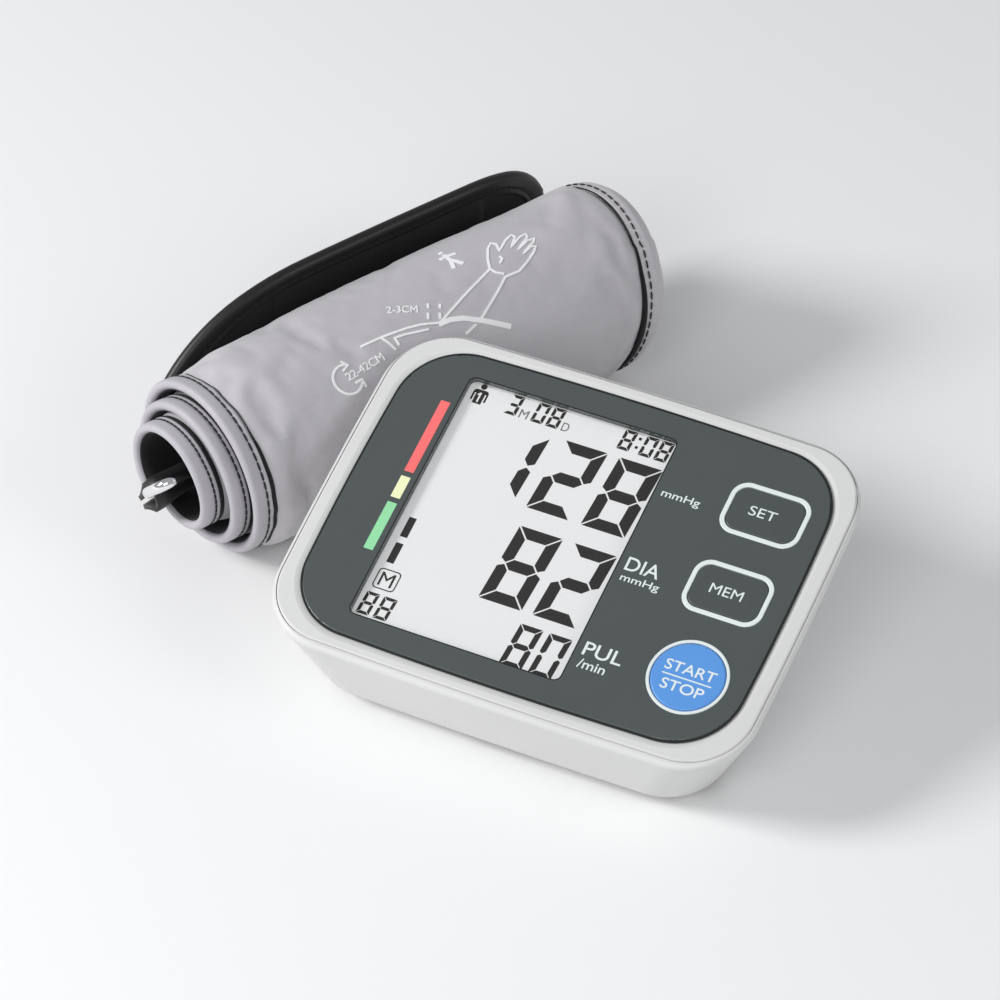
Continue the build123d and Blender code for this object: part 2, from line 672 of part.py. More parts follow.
def flap_outline():
    """The loose end's outline seen from behind: a wide sweep at the left, a small one at the right."""
    left, right, top = 5.0, 130.0, 60.0
    base = Line((left, -5), (right, -5))
    rise = Line((right, -5), (right, 38.5))
    corner = CenterArc((right - 11, 38.5), 11, 0, 90)
    edge = Line((right - 11, 49.5), (60, 49.5))
    sweep_left = Spline((60, 49.5), (29, 42), (left, 20), tangents=[(-1, 0), (-0.45, -1)])
    fall = Line((left, 20), (left, -5))
    face = make_face([base, rise, corner, edge, sweep_left, fall])
    return Pos(0, top, 0) * extrude(Plane.XZ * face, amount=2 * top)


def cuff_flap():
    half = FLAP_THICK / 2
    band = arc_band(FLAP_R - half, FLAP_R + half, FLAP_START, FLAP_END, 0, CUFF_WIDTH)
    return CUFF * (band & flap_outline())


def hook_patch():
    """Strip of hooks on the side of the flap that faces the roll."""
    inner = FLAP_R - FLAP_THICK / 2
    return CUFF * arc_band(inner - 1.0, inner - 0.02, -8, 16, 44, 114)


def ring_pivot():
    """Axis of the ring's held side, across the roll."""
    y, z = turn_centre(0)
    way = heading(LOOP_ANGLE)
    return y + LOOP_AT * way[0], z + LOOP_AT * way[1]


def metal_ring():
    left = -TELESCOPE - 5.5
    outline = RectangleRounded(RING_LENGTH - 2 * RING_WIRE, RING_WIDTH, 3.5).wire()
    section = Plane(origin=outline @ 0, z_dir=outline % 0) * Circle(RING_WIRE)
    loop = sweep(section, path=outline)
    y, z = ring_pivot()
    place = Pos(left + RING_LENGTH / 2, y, z) * Rot(RING_TILT, 0, 0) * Pos(0, -RING_WIDTH / 2, 0)
    return CUFF * place * loop


def ring_loop():
    """Folded webbing at the cuff's inner end, round the ring's held side."""
    y, z = ring_pivot()
    x0 = -TELESCOPE
    x1 = x0 + CUFF_WIDTH - 7
    tube = rod_x(LOOP_R, x0, x1, y, z) - rod_x(RING_WIRE + 0.15, x0 - 1, x1 + 1, y, z)
    core_y, core_z = turn_centre(0)
    reach = CORE_R - LOOP_AT - LOOP_R + 0.6
    out = Rot(LOOP_ANGLE, 0, 0) * Pos(0, CORE_R - reach / 2, 0)
    tab = Pos((x0 + x1) / 2, core_y, core_z) * out * Box(x1 - x0, reach, 2.4)
    return CUFF * (tube + (tab & rod_x(CORE_R - 0.05, x0, x1, core_y, core_z)))


def hose_port():
    """Nipple on the cuff's outside where the air hose fits."""
    y, z = turn_centre(HALF_TURNS - 1)
    radius = turn_radius(HALF_TURNS - 1) + STRIP
    low = z - 6.0
    flange = rod_y(6.0, -radius - 1.2, -radius + 2, PORT_X, low)
    flange -= rod_x(radius + 0.05, PORT_X - 20, PORT_X + 20, y, z)
    nipple = rod_y(2.2, -radius - 10, -radius - 1.1, PORT_X, low)
    bore = rod_y(1.25, -radius - 11, -radius - 2, PORT_X, low)
    return CUFF * (flange + nipple - bore)


def build():
    os.makedirs("parts", exist_ok=True)
    write("lower_housing", lower_housing())
    write("upper_housing", upper_housing())
    write("face_panel", face_panel())
    write("display_lens", display_lens())
    write("lcd_glass", lcd_glass())
    write("lcd_frame", lcd_frame())
    write("display_flex", display_flex())
    write("main_board", main_board())
    write("board_chips", *board_chips())
    write("button_switches", *button_switches())
    write("set_key_ring", key_ring(SET_AT))
    write("memory_key_ring", key_ring(MEMORY_AT))
    write("start_key_ring", start_ring())
    write("set_button", key_cap(SET_AT))
    write("memory_button", key_cap(MEMORY_AT))
    write("start_stop_button", start_cap())
    write("board_screws", *board_screws())
    write("housing_screws", *housing_screws())
    write("rubber_feet", *rubber_feet())
    write("battery_cover", battery_cover())
    write("battery_cells", *battery_cells())
    write("battery_contacts", *battery_contacts())
    write("battery_springs", *battery_springs())
    write("pump_motor", pump_motor())
    write("pump_head", pump_head())
    write("pump_strap", pump_strap())
    write("air_manifold", air_manifold())
    write("air_tubes", *air_tubes())
    write("release_valve", release_valve())
    write("pressure_sensor", pressure_sensor())
    write("buzzer", buzzer())
    write("air_socket", air_socket())
    write("power_socket", power_socket())
    write("motor_leads", *motor_leads())
    write("cuff_fabric", cuff_fabric())
    write("cuff_lining", cuff_lining())
    write("cuff_bladder", cuff_bladder())
    write("left_edge_binding", edge_binding(0, BINDING - 0.02))
    write("right_edge_binding", edge_binding(CUFF_WIDTH - BINDING + 0.02, CUFF_WIDTH))
    write("cuff_flap", cuff_flap())
    write("hook_patch", hook_patch())
    write("metal_ring", metal_ring())
    write("ring_loop", ring_loop())
    write("hose_port", hose_port())


build()
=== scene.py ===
import json
import math

import bmesh
import bpy
from mathutils import Matrix, Vector, noise


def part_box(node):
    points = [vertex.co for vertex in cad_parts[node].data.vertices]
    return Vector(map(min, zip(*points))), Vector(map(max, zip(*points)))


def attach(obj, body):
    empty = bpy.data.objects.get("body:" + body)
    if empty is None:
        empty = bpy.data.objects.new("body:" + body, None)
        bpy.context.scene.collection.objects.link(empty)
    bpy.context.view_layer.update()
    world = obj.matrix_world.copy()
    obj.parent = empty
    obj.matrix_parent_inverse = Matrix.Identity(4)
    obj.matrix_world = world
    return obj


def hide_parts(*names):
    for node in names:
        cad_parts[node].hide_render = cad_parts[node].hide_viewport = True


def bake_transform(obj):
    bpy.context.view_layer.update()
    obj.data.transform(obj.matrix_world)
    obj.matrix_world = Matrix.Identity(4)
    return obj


# Looks of the blood pressure monitor and its rolled cuff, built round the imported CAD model.
# Metres in the scene; drawing sizes below are in millimetres and scaled by MM.

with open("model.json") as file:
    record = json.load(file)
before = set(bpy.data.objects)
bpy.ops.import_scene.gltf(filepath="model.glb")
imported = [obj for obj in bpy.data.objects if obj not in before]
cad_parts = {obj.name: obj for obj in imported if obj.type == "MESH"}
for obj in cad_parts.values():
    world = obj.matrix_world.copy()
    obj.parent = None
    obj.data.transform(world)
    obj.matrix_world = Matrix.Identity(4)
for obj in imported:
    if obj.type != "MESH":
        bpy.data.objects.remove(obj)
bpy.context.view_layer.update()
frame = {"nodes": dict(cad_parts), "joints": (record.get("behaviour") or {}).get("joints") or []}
MM = 0.001

joints = {joint["name"]: joint for joint in frame["joints"]}


# ---- places read from the frame ----

def axes_at(origin, x_axis, y_axis, z_axis):
    """Matrix from a local frame in millimetres to the row frame in metres."""
    turn = Matrix((x_axis, y_axis, z_axis)).transposed().to_4x4()
    return Matrix.Translation(origin) @ turn @ Matrix.Scale(MM, 4)


PANEL_TOP = 0.3            # the face panel's top over the rim's plane
face_up = -Vector(joints["set_press"]["axis"])
face_right = Vector((1, 0, 0))
face_back = face_up.cross(face_right)
panel_low, panel_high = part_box("face_panel")
face_at = (panel_low + panel_high) / 2
panel = frame["nodes"]["face_panel"]
panel_points = [panel.matrix_world @ vertex.co for vertex in panel.data.vertices]
face_at += face_up * (max((point - face_at).dot(face_up) for point in panel_points) - PANEL_TOP * MM)
FACE = axes_at(face_at, face_right, face_back, face_up)
UP = Vector((0, 0, 1))

HINGE_X, HINGE_Y = 60.0, 16.31         # the loose end's hinge in the cuff's frame
peel = joints["loose_end_peel"]
along = -Vector(peel["axis"])
across = Vector((-along.y, along.x, 0))
hinge_at = Vector(peel["pos_m"])
cuff_at = hinge_at - (along * HINGE_X + across * HINGE_Y) * MM
cuff_at.z = 0
CUFF = axes_at(cuff_at, along, across, UP)

# ---- sizes of the roll, as in the CAD model ----
CORE_R = 11.8
PITCH = 4.2
STRIP = 3.2
HALF_TURNS = 6
START_ANGLE = -50.0
TELESCOPE = 12.5
CUFF_WIDTH = 135.0
OUT_RADIUS = CORE_R + PITCH / 2 * (HALF_TURNS - 1) + STRIP
FULL_ANGLE = START_ANGLE + 180 * HALF_TURNS
FLAP_R = 32.0
FLAP_START = -59.0

LEFT_SEAM = 4.0            # stitch line of the left binding, from the strip's edge
RIGHT_SEAM = 126.2         # seam before the padded right end
LENS_DEPTH = -1.9          # the LCD's surface below the face
WINDOW_HIGH = 72.7         # the display window, along the face


# ---- camera and light ----

def linked(name, data):
    """A new object in the scene."""
    made = bpy.data.objects.new(name, data)
    bpy.context.scene.collection.objects.link(made)
    return made


CAMERA_OFFSET = (0.3753, -0.7930, 0.7587)            # from the face, in metres
CAMERA_DOWN, CAMERA_TURN = 40.34, 26.38
LAMPS = [                  # name, place, size in metres and power in watts
    ("key", (-0.9, -0.6, 0.72), 0.45, 11.5),
    ("front", (0.15, -1.1, 0.8), 0.6, 4.2),
    ("fill", (1.1, 0.0, 0.7), 0.7, 2.6),
]
FLOOR_HALF = 3.0


def studio():
    camera = bpy.data.cameras.new("camera")
    camera.lens = 169.2
    camera.sensor_width = 36
    camera.clip_start = 0.05
    camera.dof.use_dof = False
    eye = linked("camera", camera)
    eye.location = face_at + Vector(CAMERA_OFFSET)
    eye.rotation_euler = (math.radians(90 - CAMERA_DOWN), 0, math.radians(CAMERA_TURN))
    bpy.context.scene.camera = eye

    world = bpy.data.worlds.new("studio")
    world.use_nodes = True
    background = world.node_tree.nodes["Background"]
    background.inputs["Color"].default_value = (0.95, 0.97, 1.0, 1)
    background.inputs["Strength"].default_value = 0.38
    bpy.context.scene.world = world
    bpy.context.scene.view_settings.view_transform = "Standard"

    for name, at, size, watts in LAMPS:
        lamp(name, at, size, watts)

    mesh = bpy.data.meshes.new("floor")
    corners = [(x * FLOOR_HALF, y * FLOOR_HALF, 0) for x, y in ((-1, -1), (1, -1), (1, 1), (-1, 1))]
    mesh.from_pydata(corners, [], [(0, 1, 2, 3)])
    floor = linked("floor", mesh)
    floor.location.z = -0.0002
    look = Look("floor_paper")
    mesh.materials.append(look.paint((0.90, 0.90, 0.90, 1), 0.8, [(look.noise(400), 0.1, 0.0001)]))


def lamp(name, at, size, watts):
    light = bpy.data.lights.new(name, "AREA")
    light.shape = "DISK"
    light.size = size
    light.energy = watts
    holder = linked(name, light)
    holder.location = at
    holder.rotation_euler = Vector(at).to_track_quat("Z", "Y").to_euler()


# ---- materials ----

class Look:
    """A procedural material and the nodes that feed it; its places are in metres."""

    def __init__(self, name, on_cloth=False):
        self.material = bpy.data.materials.new(name)
        self.material.use_nodes = True
        self.tree = self.material.node_tree
        self.surface = self.tree.nodes["Principled BSDF"]
        if on_cloth:       # place on the flat cloth: along the roll, along the strip, depth
            self.place = self.add("ShaderNodeAttribute", {}, attribute_name="cloth").outputs["Vector"]
        else:
            self.place = self.add("ShaderNodeTexCoord", {}).outputs["Object"]

    def feed(self, node, inputs):
        """Link or set a node's inputs."""
        for key, value in inputs.items():
            if isinstance(value, bpy.types.NodeSocket):
                self.tree.links.new(value, node.inputs[key])
            else:
                node.inputs[key].default_value = value

    def add(self, kind, inputs, **settings):
        """A node with its settings, links and values."""
        made = self.tree.nodes.new(kind)
        for key, value in settings.items():
            setattr(made, key, value)
        self.feed(made, inputs)
        return made

    def stretched(self, scale, turn=(0, 0, 0)):
        inputs = {"Vector": self.place, "Scale": scale, "Rotation": turn}
        return self.add("ShaderNodeMapping", inputs).outputs[0]

    def noise(self, scale, detail=3.0, rough=0.5, place=None):
        place = self.place if place is None else place
        inputs = {"Vector": place, "Scale": scale, "Detail": detail, "Roughness": rough}
        return self.add("ShaderNodeTexNoise", inputs).outputs["Fac"]

    def wave(self, scale, direction, place=None):
        place = self.place if place is None else place
        inputs = {"Vector": place, "Scale": scale, "Distortion": 0.4, "Detail": 1.0}
        return self.add("ShaderNodeTexWave", inputs, bands_direction=direction).outputs["Fac"]

    def remap(self, value, low, high):
        """The middle of a noise's range, spread between two values."""
        inputs = {"Value": value, "From Min": 0.3, "From Max": 0.7, "To Min": low, "To Max": high}
        return self.add("ShaderNodeMapRange", inputs).outputs[0]

    def maths(self, operation, a, b):
        return self.add("ShaderNodeMath", {0: a, 1: b}, operation=operation).outputs[0]

    def mixed(self, factor, first, second):
        """Colour between two colours or sockets."""
        return self.add("ShaderNodeMix", {0: factor, 6: first, 7: second}, data_type="RGBA").outputs[2]

    def shades(self, factor, colour, dark, light):
        """A colour between a darker and a lighter shade."""
        return self.mixed(factor, scaled(colour, dark), scaled(colour, light))

    def paint(self, tone, gloss, bumps=(), even=()):
        """Finish with a colour, a roughness, bumps of (height, strength, metres) and even values."""
        inputs = {"Base Color": tone, "Roughness": gloss}
        inputs.update(even)
        for height, strength, distance in bumps:
            bump = {"Height": height, "Strength": strength, "Distance": distance}
            if "Normal" in inputs:
                bump["Normal"] = inputs["Normal"]
            inputs["Normal"] = self.add("ShaderNodeBump", bump).outputs[0]
        self.feed(self.surface, inputs)
        return self.material


def scaled(colour, factor):
    return tuple(min(1.0, channel * factor) for channel in colour[:3]) + (1,)


def srgb(red, green, blue):
    """Linear colour of an 8-bit screen colour."""
    channels = []
    for value in (red, green, blue):
        part = value / 255
        channels.append(part / 12.92 if part <= 0.04045 else ((part + 0.055) / 1.055) ** 2.4)
    return tuple(channels) + (1,)


def plastic(name, colour, rough, grain_size=0.35, grain=0.25, coat=0.0, mottle=0.04):
    """Moulded plastic: fine spark grain, faint mottling and uneven gloss."""
    look = Look(name)
    tone = look.shades(look.noise(35, 4), colour, 1 - mottle, 1 + mottle)
    gloss = look.remap(look.noise(160, 5, 0.65), rough - 0.05, rough + 0.07)
    bumps = [(look.noise(60, 2), 0.06, 0.0004), (look.noise(1 / (grain_size * MM), 2), grain, 0.00002)]
    return look.paint(tone, gloss, bumps, {"Coat Weight": coat, "Coat Roughness": 0.12, "IOR": 1.49})


def metal(name, colour, rough, brushed=False):
    """Bare or plated metal: streaks in colour and gloss, fine scratches."""
    look = Look(name)
    streaks = look.noise(90, 4, 0.6, look.stretched((1, 40, 40) if brushed else (1, 1, 1)))
    tone = look.shades(streaks, colour, 0.86, 1.05)
    gloss = look.remap(streaks, rough * 0.7, rough * 1.5)
    return look.paint(tone, gloss, [(look.noise(1500), 0.05, 0.00002)], {"Metallic": 1.0})


def rubber(name, colour, rough=0.75):
    """Rubber, silicone or film with a little dust on it; it also makes the dark ring of painted shade round
    the face panel.
    """
    look = Look(name)
    dust = look.noise(120, 5, 0.7)
    tone = look.mixed(look.remap(dust, 0, 0.35), colour, scaled(colour, 1.6))
    gloss = look.remap(dust, rough - 0.08, rough + 0.1)
    return look.paint(tone, gloss, [(look.noise(2200, 2), 0.3, 0.00003)])


def clear_lens():
    look = Look("lens_clear")
    smear = look.noise(45, 4, 0.6)
    return look.paint((0.03, 0.03, 0.03, 1), look.remap(smear, 0.08, 0.2), [(smear, 0.02, 0.0002)],
                      {"Alpha": 0.04, "IOR": 1.45})


def lcd_look():
    """Pale display film with a painted glow that lifts the shade in its deep window."""
    look = Look("lcd_film_painted_glow")
    fleck = look.noise(5000, 2)
    tone = look.mixed(look.noise(14, 2), srgb(208, 209, 210), srgb(203, 204, 205))
    tone = look.mixed(look.remap(fleck, 0, 0.12), tone, srgb(180, 182, 182))
    # The emission is a painted glow: it brightens the film where the window's walls shade it.
    return look.paint(tone, look.remap(fleck, 0.4, 0.55), [(fleck, 0.1, 0.00001)],
                      {"Emission Color": (1, 1, 1, 1), "Emission Strength": 0.26})


def print_and_shade_look(name, colour, rough=0.45):
    """Screen-printed ink, also used for the painted shade line round the display's window: nearly even, with
    a slight grain.
    """
    look = Look(name)
    speck = look.noise(2500, 3, 0.6)
    tone = look.shades(look.remap(speck, 0, 1), colour, 0.93, 1.04)
    return look.paint(tone, look.remap(speck, rough - 0.06, rough + 0.08), [(speck, 0.15, 0.00001)])


def nylon(name, colour, rough=0.42):
    """Satin nylon: fine plain weave, slubs, soft sheen and faint creasing."""
    look = Look(name, on_cloth=True)
    threads = look.maths("MULTIPLY", look.wave(900, "X"), look.wave(900, "Y"))
    slub = look.noise(220, 4, 0.6, look.stretched((1, 14, 1)))
    patches = look.noise(28, 4, 0.55)
    creases = look.noise(75, 4, 0.5, look.stretched((1, 2.2, 1), (0, 0, 0.5)))
    tone = look.shades(patches, colour, 0.93, 1.06)
    tone = look.mixed(look.remap(slub, 0, 0.3), tone, scaled(colour, 0.84))
    bumps = [(creases, 0.22, 0.0012), (slub, 0.12, 0.0001), (threads, 0.3, 0.00004)]
    return look.paint(tone, look.remap(patches, rough - 0.05, rough + 0.08), bumps,
                      {"Sheen Weight": 0.25, "Sheen Roughness": 0.35, "Anisotropic": 0.3})


def tape(name, colour, rough=0.55):
    """Woven binding tape with fine ribs across its width."""
    look = Look(name, on_cloth=True)
    fuzz = look.noise(900, 4, 0.7)
    patches = look.noise(60)
    tone = look.shades(patches, colour, 0.9, 1.08)
    tone = look.mixed(look.remap(fuzz, 0, 0.25), tone, scaled(colour, 0.8))
    bumps = [(patches, 0.2, 0.0005), (look.wave(520, "Y"), 0.2, 0.00004), (fuzz, 0.2, 0.00003)]
    return look.paint(tone, look.remap(fuzz, rough - 0.06, rough + 0.08), bumps, {"Sheen Weight": 0.05})


def brushed_cloth(name, colour, pile=1100, rough=0.9):
    """Brushed loop or hook cloth: a dense rough pile."""
    look = Look(name, on_cloth=True)
    loops = look.noise(pile, 4, 0.75)
    nap = look.noise(55, 4, 0.6)
    tone = look.shades(nap, colour, 0.75, 1.5)
    tone = look.mixed(look.remap(loops, 0, 0.6), tone, scaled(colour, 2.4))
    bumps = [(nap, 0.3, 0.0008), (loops, 0.6, 0.0002)]
    return look.paint(tone, look.remap(nap, rough - 0.08, rough + 0.05), bumps,
                      {"Sheen Weight": 0.06, "Sheen Roughness": 0.5})


def thread(name, colour):
    """Twisted sewing thread."""
    look = Look(name)
    twist = look.wave(1800, "X", look.stretched((1, 1, 1), (0.5, 0.6, 0.2)))
    tone = look.shades(twist, colour, 0.6, 1.5)
    return look.paint(tone, look.remap(twist, 0.5, 0.65), [(twist, 0.4, 0.00005)])


CELL_BAND = 0.019          # the pale ends of the cells start this far from the face's middle, in metres


def cell_wrap():
    """Printed sleeve of a battery cell, with a pale band at its ends."""
    look = Look("cell_wrap")
    speck = look.noise(900)
    x = look.add("ShaderNodeSeparateXYZ", {"Vector": look.place}).outputs[0]
    middle = look.maths("ABSOLUTE", look.maths("SUBTRACT", x, face_at.x), 0)
    band = look.maths("GREATER_THAN", middle, CELL_BAND)
    tone = look.mixed(band, srgb(38, 92, 62), srgb(196, 190, 176))
    tone = look.mixed(look.remap(speck, 0, 0.2), tone, srgb(20, 20, 20))
    return look.paint(tone, look.remap(speck, 0.3, 0.42), even={"Metallic": 0.4})


# ---- mesh helpers ----

def heading(angle):
    return math.cos(math.radians(angle)), math.sin(math.radians(angle))


def line(x0, x1, count):
    return [x0 + (x1 - x0) * i / (count - 1) for i in range(count)]


def oval(x, y, wide, high, angles):
    """Points on an oval round (x, y) at angles in degrees."""
    return [(x + wide * heading(a)[0], y + high * heading(a)[1]) for a in angles]


def show(name, mesh, look, body, slot):
    mesh.materials.clear()
    mesh.materials.append(look)
    made = linked(name, mesh)
    if body:
        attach(made, body)
    return made


def piece(name, points, faces, look, body, slot, smooth=True, cloth=None):
    """A mesh in the row frame, with its normals outward and its places on the flat cloth."""
    mesh = bpy.data.meshes.new(name)
    mesh.from_pydata([tuple(point) for point in points], [], faces)
    mesh.validate()
    if cloth is not None:
        layer = mesh.attributes.new("cloth", "FLOAT_VECTOR", "POINT")
        layer.data.foreach_set("vector", [value for place in cloth for value in place])
    outward = bmesh.new()
    outward.from_mesh(mesh)
    bmesh.ops.recalc_face_normals(outward, faces=outward.faces)
    outward.to_mesh(mesh)
    outward.free()
    mesh.polygons.foreach_set("use_smooth", [smooth] * len(mesh.polygons))
    return show(name, mesh, look, body, slot)


def tube_faces(rows, ring, closed_rows=False):
    """Quads between rows of a closed ring, with end caps unless the rows close."""
    faces = []
    last = rows if closed_rows else rows - 1
    for i in range(last):
        for j in range(ring):
            a, b = i * ring + j, i * ring + (j + 1) % ring
            c, d = (i + 1) % rows * ring + (j + 1) % ring, (i + 1) % rows * ring + j
            faces.append((a, b, c, d))
    if not closed_rows:
        faces.append(tuple(range(ring)))
        faces.append(tuple(range((rows - 1) * ring, rows * ring)))
    return faces


def joined(shapes):
    """One list of points and one of faces from several closed shapes."""
    points, faces = [], []
    for corners, sides in shapes:
        faces += [tuple(index + len(points) for index in side) for side in sides]
        points += corners
    return points, faces


def step_at(path, i, closed=False):
    """Unit step along a flat path at its point i."""
    last = len(path) - 1
    before = path[i - 1] if closed else path[max(0, i - 1)]
    after = path[(i + 1) % len(path)] if closed else path[min(last, i + 1)]
    dx, dy = after[0] - before[0], after[1] - before[1]
    size = math.hypot(dx, dy) or 1.0
    return dx / size, dy / size


# ---- monitor: materials on the CAD nodes ----

def dress(look, *nodes):
    for name in nodes:
        node = frame["nodes"][name]
        node.data.materials.clear()
        node.data.materials.append(look)


def dress_monitor():
    body_white = srgb(210, 210, 209)
    panel_grey = srgb(74, 80, 80)
    dress(plastic("housing_white", body_white, 0.42, grain=0.3), "lower_housing", "upper_housing")
    dress(plastic("door_white", srgb(216, 216, 214), 0.5, grain=0.5), "battery_cover")
    dress(plastic("panel_gloss", panel_grey, 0.3, 0.8, 0.02, 0.2, 0.03), "face_panel")
    dress(plastic("key_grey", srgb(72, 78, 78), 0.38, 0.5, 0.15), "set_button", "memory_button")
    dress(plastic("key_blue", srgb(88, 148, 218), 0.4, 0.5, 0.15), "start_stop_button")
    dress(plastic("ring_pale", srgb(222, 230, 230), 0.35, 0.4, 0.1), "set_key_ring", "memory_key_ring",
          "start_key_ring")
    dress(clear_lens(), "display_lens")
    dress(lcd_look(), "lcd_glass")
    dress(plastic("frame_white", srgb(225, 224, 218), 0.5), "lcd_frame", "pump_head", "air_manifold")
    dress(plastic("flex_amber", srgb(190, 120, 40), 0.35, 0.6, 0.1, 0.3), "display_flex")
    dress(plastic("board_green", srgb(28, 92, 58), 0.4, 0.8, 0.3, 0.2, 0.12), "main_board")
    dress(plastic("epoxy_black", srgb(28, 28, 30), 0.5, 0.3, 0.4), "board_chips", "pressure_sensor",
          "buzzer", "release_valve")
    dress(plastic("socket_black", srgb(24, 24, 26), 0.45, 0.3, 0.3), "air_socket", "power_socket",
          "hose_port")
    dress(metal("steel_stamped", (0.62, 0.62, 0.63, 1), 0.32), "button_switches", "board_screws",
          "housing_screws")
    dress(metal("nickel", (0.72, 0.70, 0.64, 1), 0.25), "battery_contacts", "battery_springs")
    dress(metal("motor_steel", (0.60, 0.60, 0.61, 1), 0.35, True), "pump_motor", "pump_strap")
    dress(rubber("foot_rubber", srgb(40, 40, 42)), "rubber_feet")
    dress(rubber("silicone", srgb(205, 205, 200), 0.45), "air_tubes")
    dress(rubber("lead_red", srgb(170, 30, 28), 0.4), "motor_leads")
    dress(cell_wrap(), "battery_cells")
    dress(metal("ring_chrome", (0.90, 0.90, 0.91, 1), 0.09), "metal_ring")


GAP_SHADE_WIDE = 0.5


def panel_gap_shade():
    """Painted shade: a dark ring in the gap round the face panel."""
    to_face = FACE.inverted()
    flat = [to_face @ point for point in panel_points]
    corners = sorted({(round(point.x, 2), round(point.y, 2)) for point in flat})
    lower, upper = half_hull(corners), half_hull(reversed(corners))
    outline = lower[:-1] + upper[:-1]
    wider = []
    for i, (x, y) in enumerate(outline):
        dx, dy = step_at(outline, i, closed=True)
        wider.append((x + dy * GAP_SHADE_WIDE, y - dx * GAP_SHADE_WIDE))
    # Painted shade: the dark ring stands for the shade in the gap between the panel and the rim.
    look = rubber("gap_shade_black", srgb(18, 19, 19), 0.5)
    face_ring("panel_gap_shade", outline, wider, -0.3, 0.14, look, "frame_plastic")


def half_hull(corners):
    """Lower side of the convex outline of sorted corners."""
    chain = []
    for x, y in corners:
        while len(chain) > 1:
            (x0, y0), (x1, y1) = chain[-2], chain[-1]
            if (x1 - x0) * (y - y0) - (y1 - y0) * (x - x0) > 1e-6:
                break
            chain.pop()
        chain.append((x, y))
    return chain


# ---- monitor: printed marks, the display and the painted shade round its window ----

PRINT_THICK = 0.04
KEY_TOP = 0.45             # tops of the two grey keys and of the round one, over the rim's plane
START_TOP = 0.55


def face_ring(name, first, second, low, high, look, slot):
    """Flat closed band between two outlines on the face."""
    points = []
    for outline, height in ((first, low), (second, low), (second, high), (first, high)):
        points += [FACE @ Vector((x, y, height)) for x, y in outline]
    faces = tube_faces(4, len(first), closed_rows=True)
    piece(name, points, faces, look, "monitor", slot, smooth=False)


def plates(name, outlines, low, high, look, body, slot):
    """Several flat closed plates on the face as one piece."""
    shapes = []
    for outline in outlines:
        corners = [FACE @ Vector((x, y, height)) for height in (low, high) for x, y in outline]
        shapes.append((corners, tube_faces(2, len(outline))))
    piece(name, *joined(shapes), look, body, slot, smooth=False)


def rounded_box(x0, y0, x1, y1, radius, steps=5):
    corners = [(x1 - radius, y1 - radius, 0), (x0 + radius, y1 - radius, 90),
               (x0 + radius, y0 + radius, 180), (x1 - radius, y0 + radius, 270)]
    outline = []
    for x, y, start in corners:
        outline += oval(x, y, radius, radius, line(start, start + 90, steps + 1))
    return outline


SEGMENTS = {"0": "abcdef", "1": "bc", "2": "abged", "3": "abgcd", "8": "abcdefg"}


def flipped(points):
    """A mirrored outline in its old winding, from the same corner."""
    first, *rest = points
    return [first] + rest[::-1]


def digit(character, x0, y0, x1, y1, stroke, gap, slant=0.06):
    """Outlines of a seven-segment digit inside a box, leaning to the right."""
    w, h = x1 - x0 - slant * (y1 - y0), y1 - y0
    t, g, m = stroke, gap, h / 2
    shapes = {
        "a": [(g, h), (w - g, h), (w - t - g, h - t), (t + g, h - t)],
        "f": [(0, h - g), (t, h - t - g), (t, m + t / 2 + g), (t / 2, m + g), (0, m + g + t * 0.3)],
        "g": [(t / 2 + g, m), (t + g, m + t / 2), (w - t - g, m + t / 2), (w - t / 2 - g, m),
              (w - t - g, m - t / 2), (t + g, m - t / 2)],
    }
    for upper, lower in ("ad", "fe"):
        shapes[lower] = flipped((x, h - y) for x, y in shapes[upper])
    for left, right in ("fb", "ec"):
        shapes[right] = flipped((w - x, y) for x, y in shapes[left])
    return [[(x0 + x + slant * y, y0 + y) for x, y in shapes[key]] for key in SEGMENTS[character]]


def letter_mesh(name, text, bold=0.0):
    """Mesh of lettering with a top over z = 0 and an underside below it."""
    curve = bpy.data.curves.new(name, "FONT")
    curve.body = text
    curve.extrude = 0.02
    curve.offset = bold
    letters = linked(name + "_curve", curve)
    bpy.context.view_layer.update()
    mesh = bpy.data.meshes.new_from_object(letters.evaluated_get(bpy.context.evaluated_depsgraph_get()))
    bpy.data.objects.remove(letters)
    return mesh


def label(name, text, box, height, look, body, bold=0.0, slot="key_ring"):
    """Raised lettering stretched to fill a box on the face."""
    mesh = letter_mesh(name, text, bold)
    mesh.name = name
    xs = [vertex.co.x for vertex in mesh.vertices]
    ys = [vertex.co.y for vertex in mesh.vertices]
    x0, y0, x1, y1 = box
    for vertex in mesh.vertices:
        x = x0 + (vertex.co.x - min(xs)) / (max(xs) - min(xs)) * (x1 - x0)
        y = y0 + (vertex.co.y - min(ys)) / (max(ys) - min(ys)) * (y1 - y0)
        z = height + (PRINT_THICK if vertex.co.z > 0 else -PRINT_THICK)
        vertex.co = FACE @ Vector((x, y, z))
    weld = bmesh.new()
    weld.from_mesh(mesh)
    bmesh.ops.remove_doubles(weld, verts=weld.verts, dist=0.000002)
    weld.to_mesh(mesh)
    weld.free()
    show(name, mesh, look, body, slot)


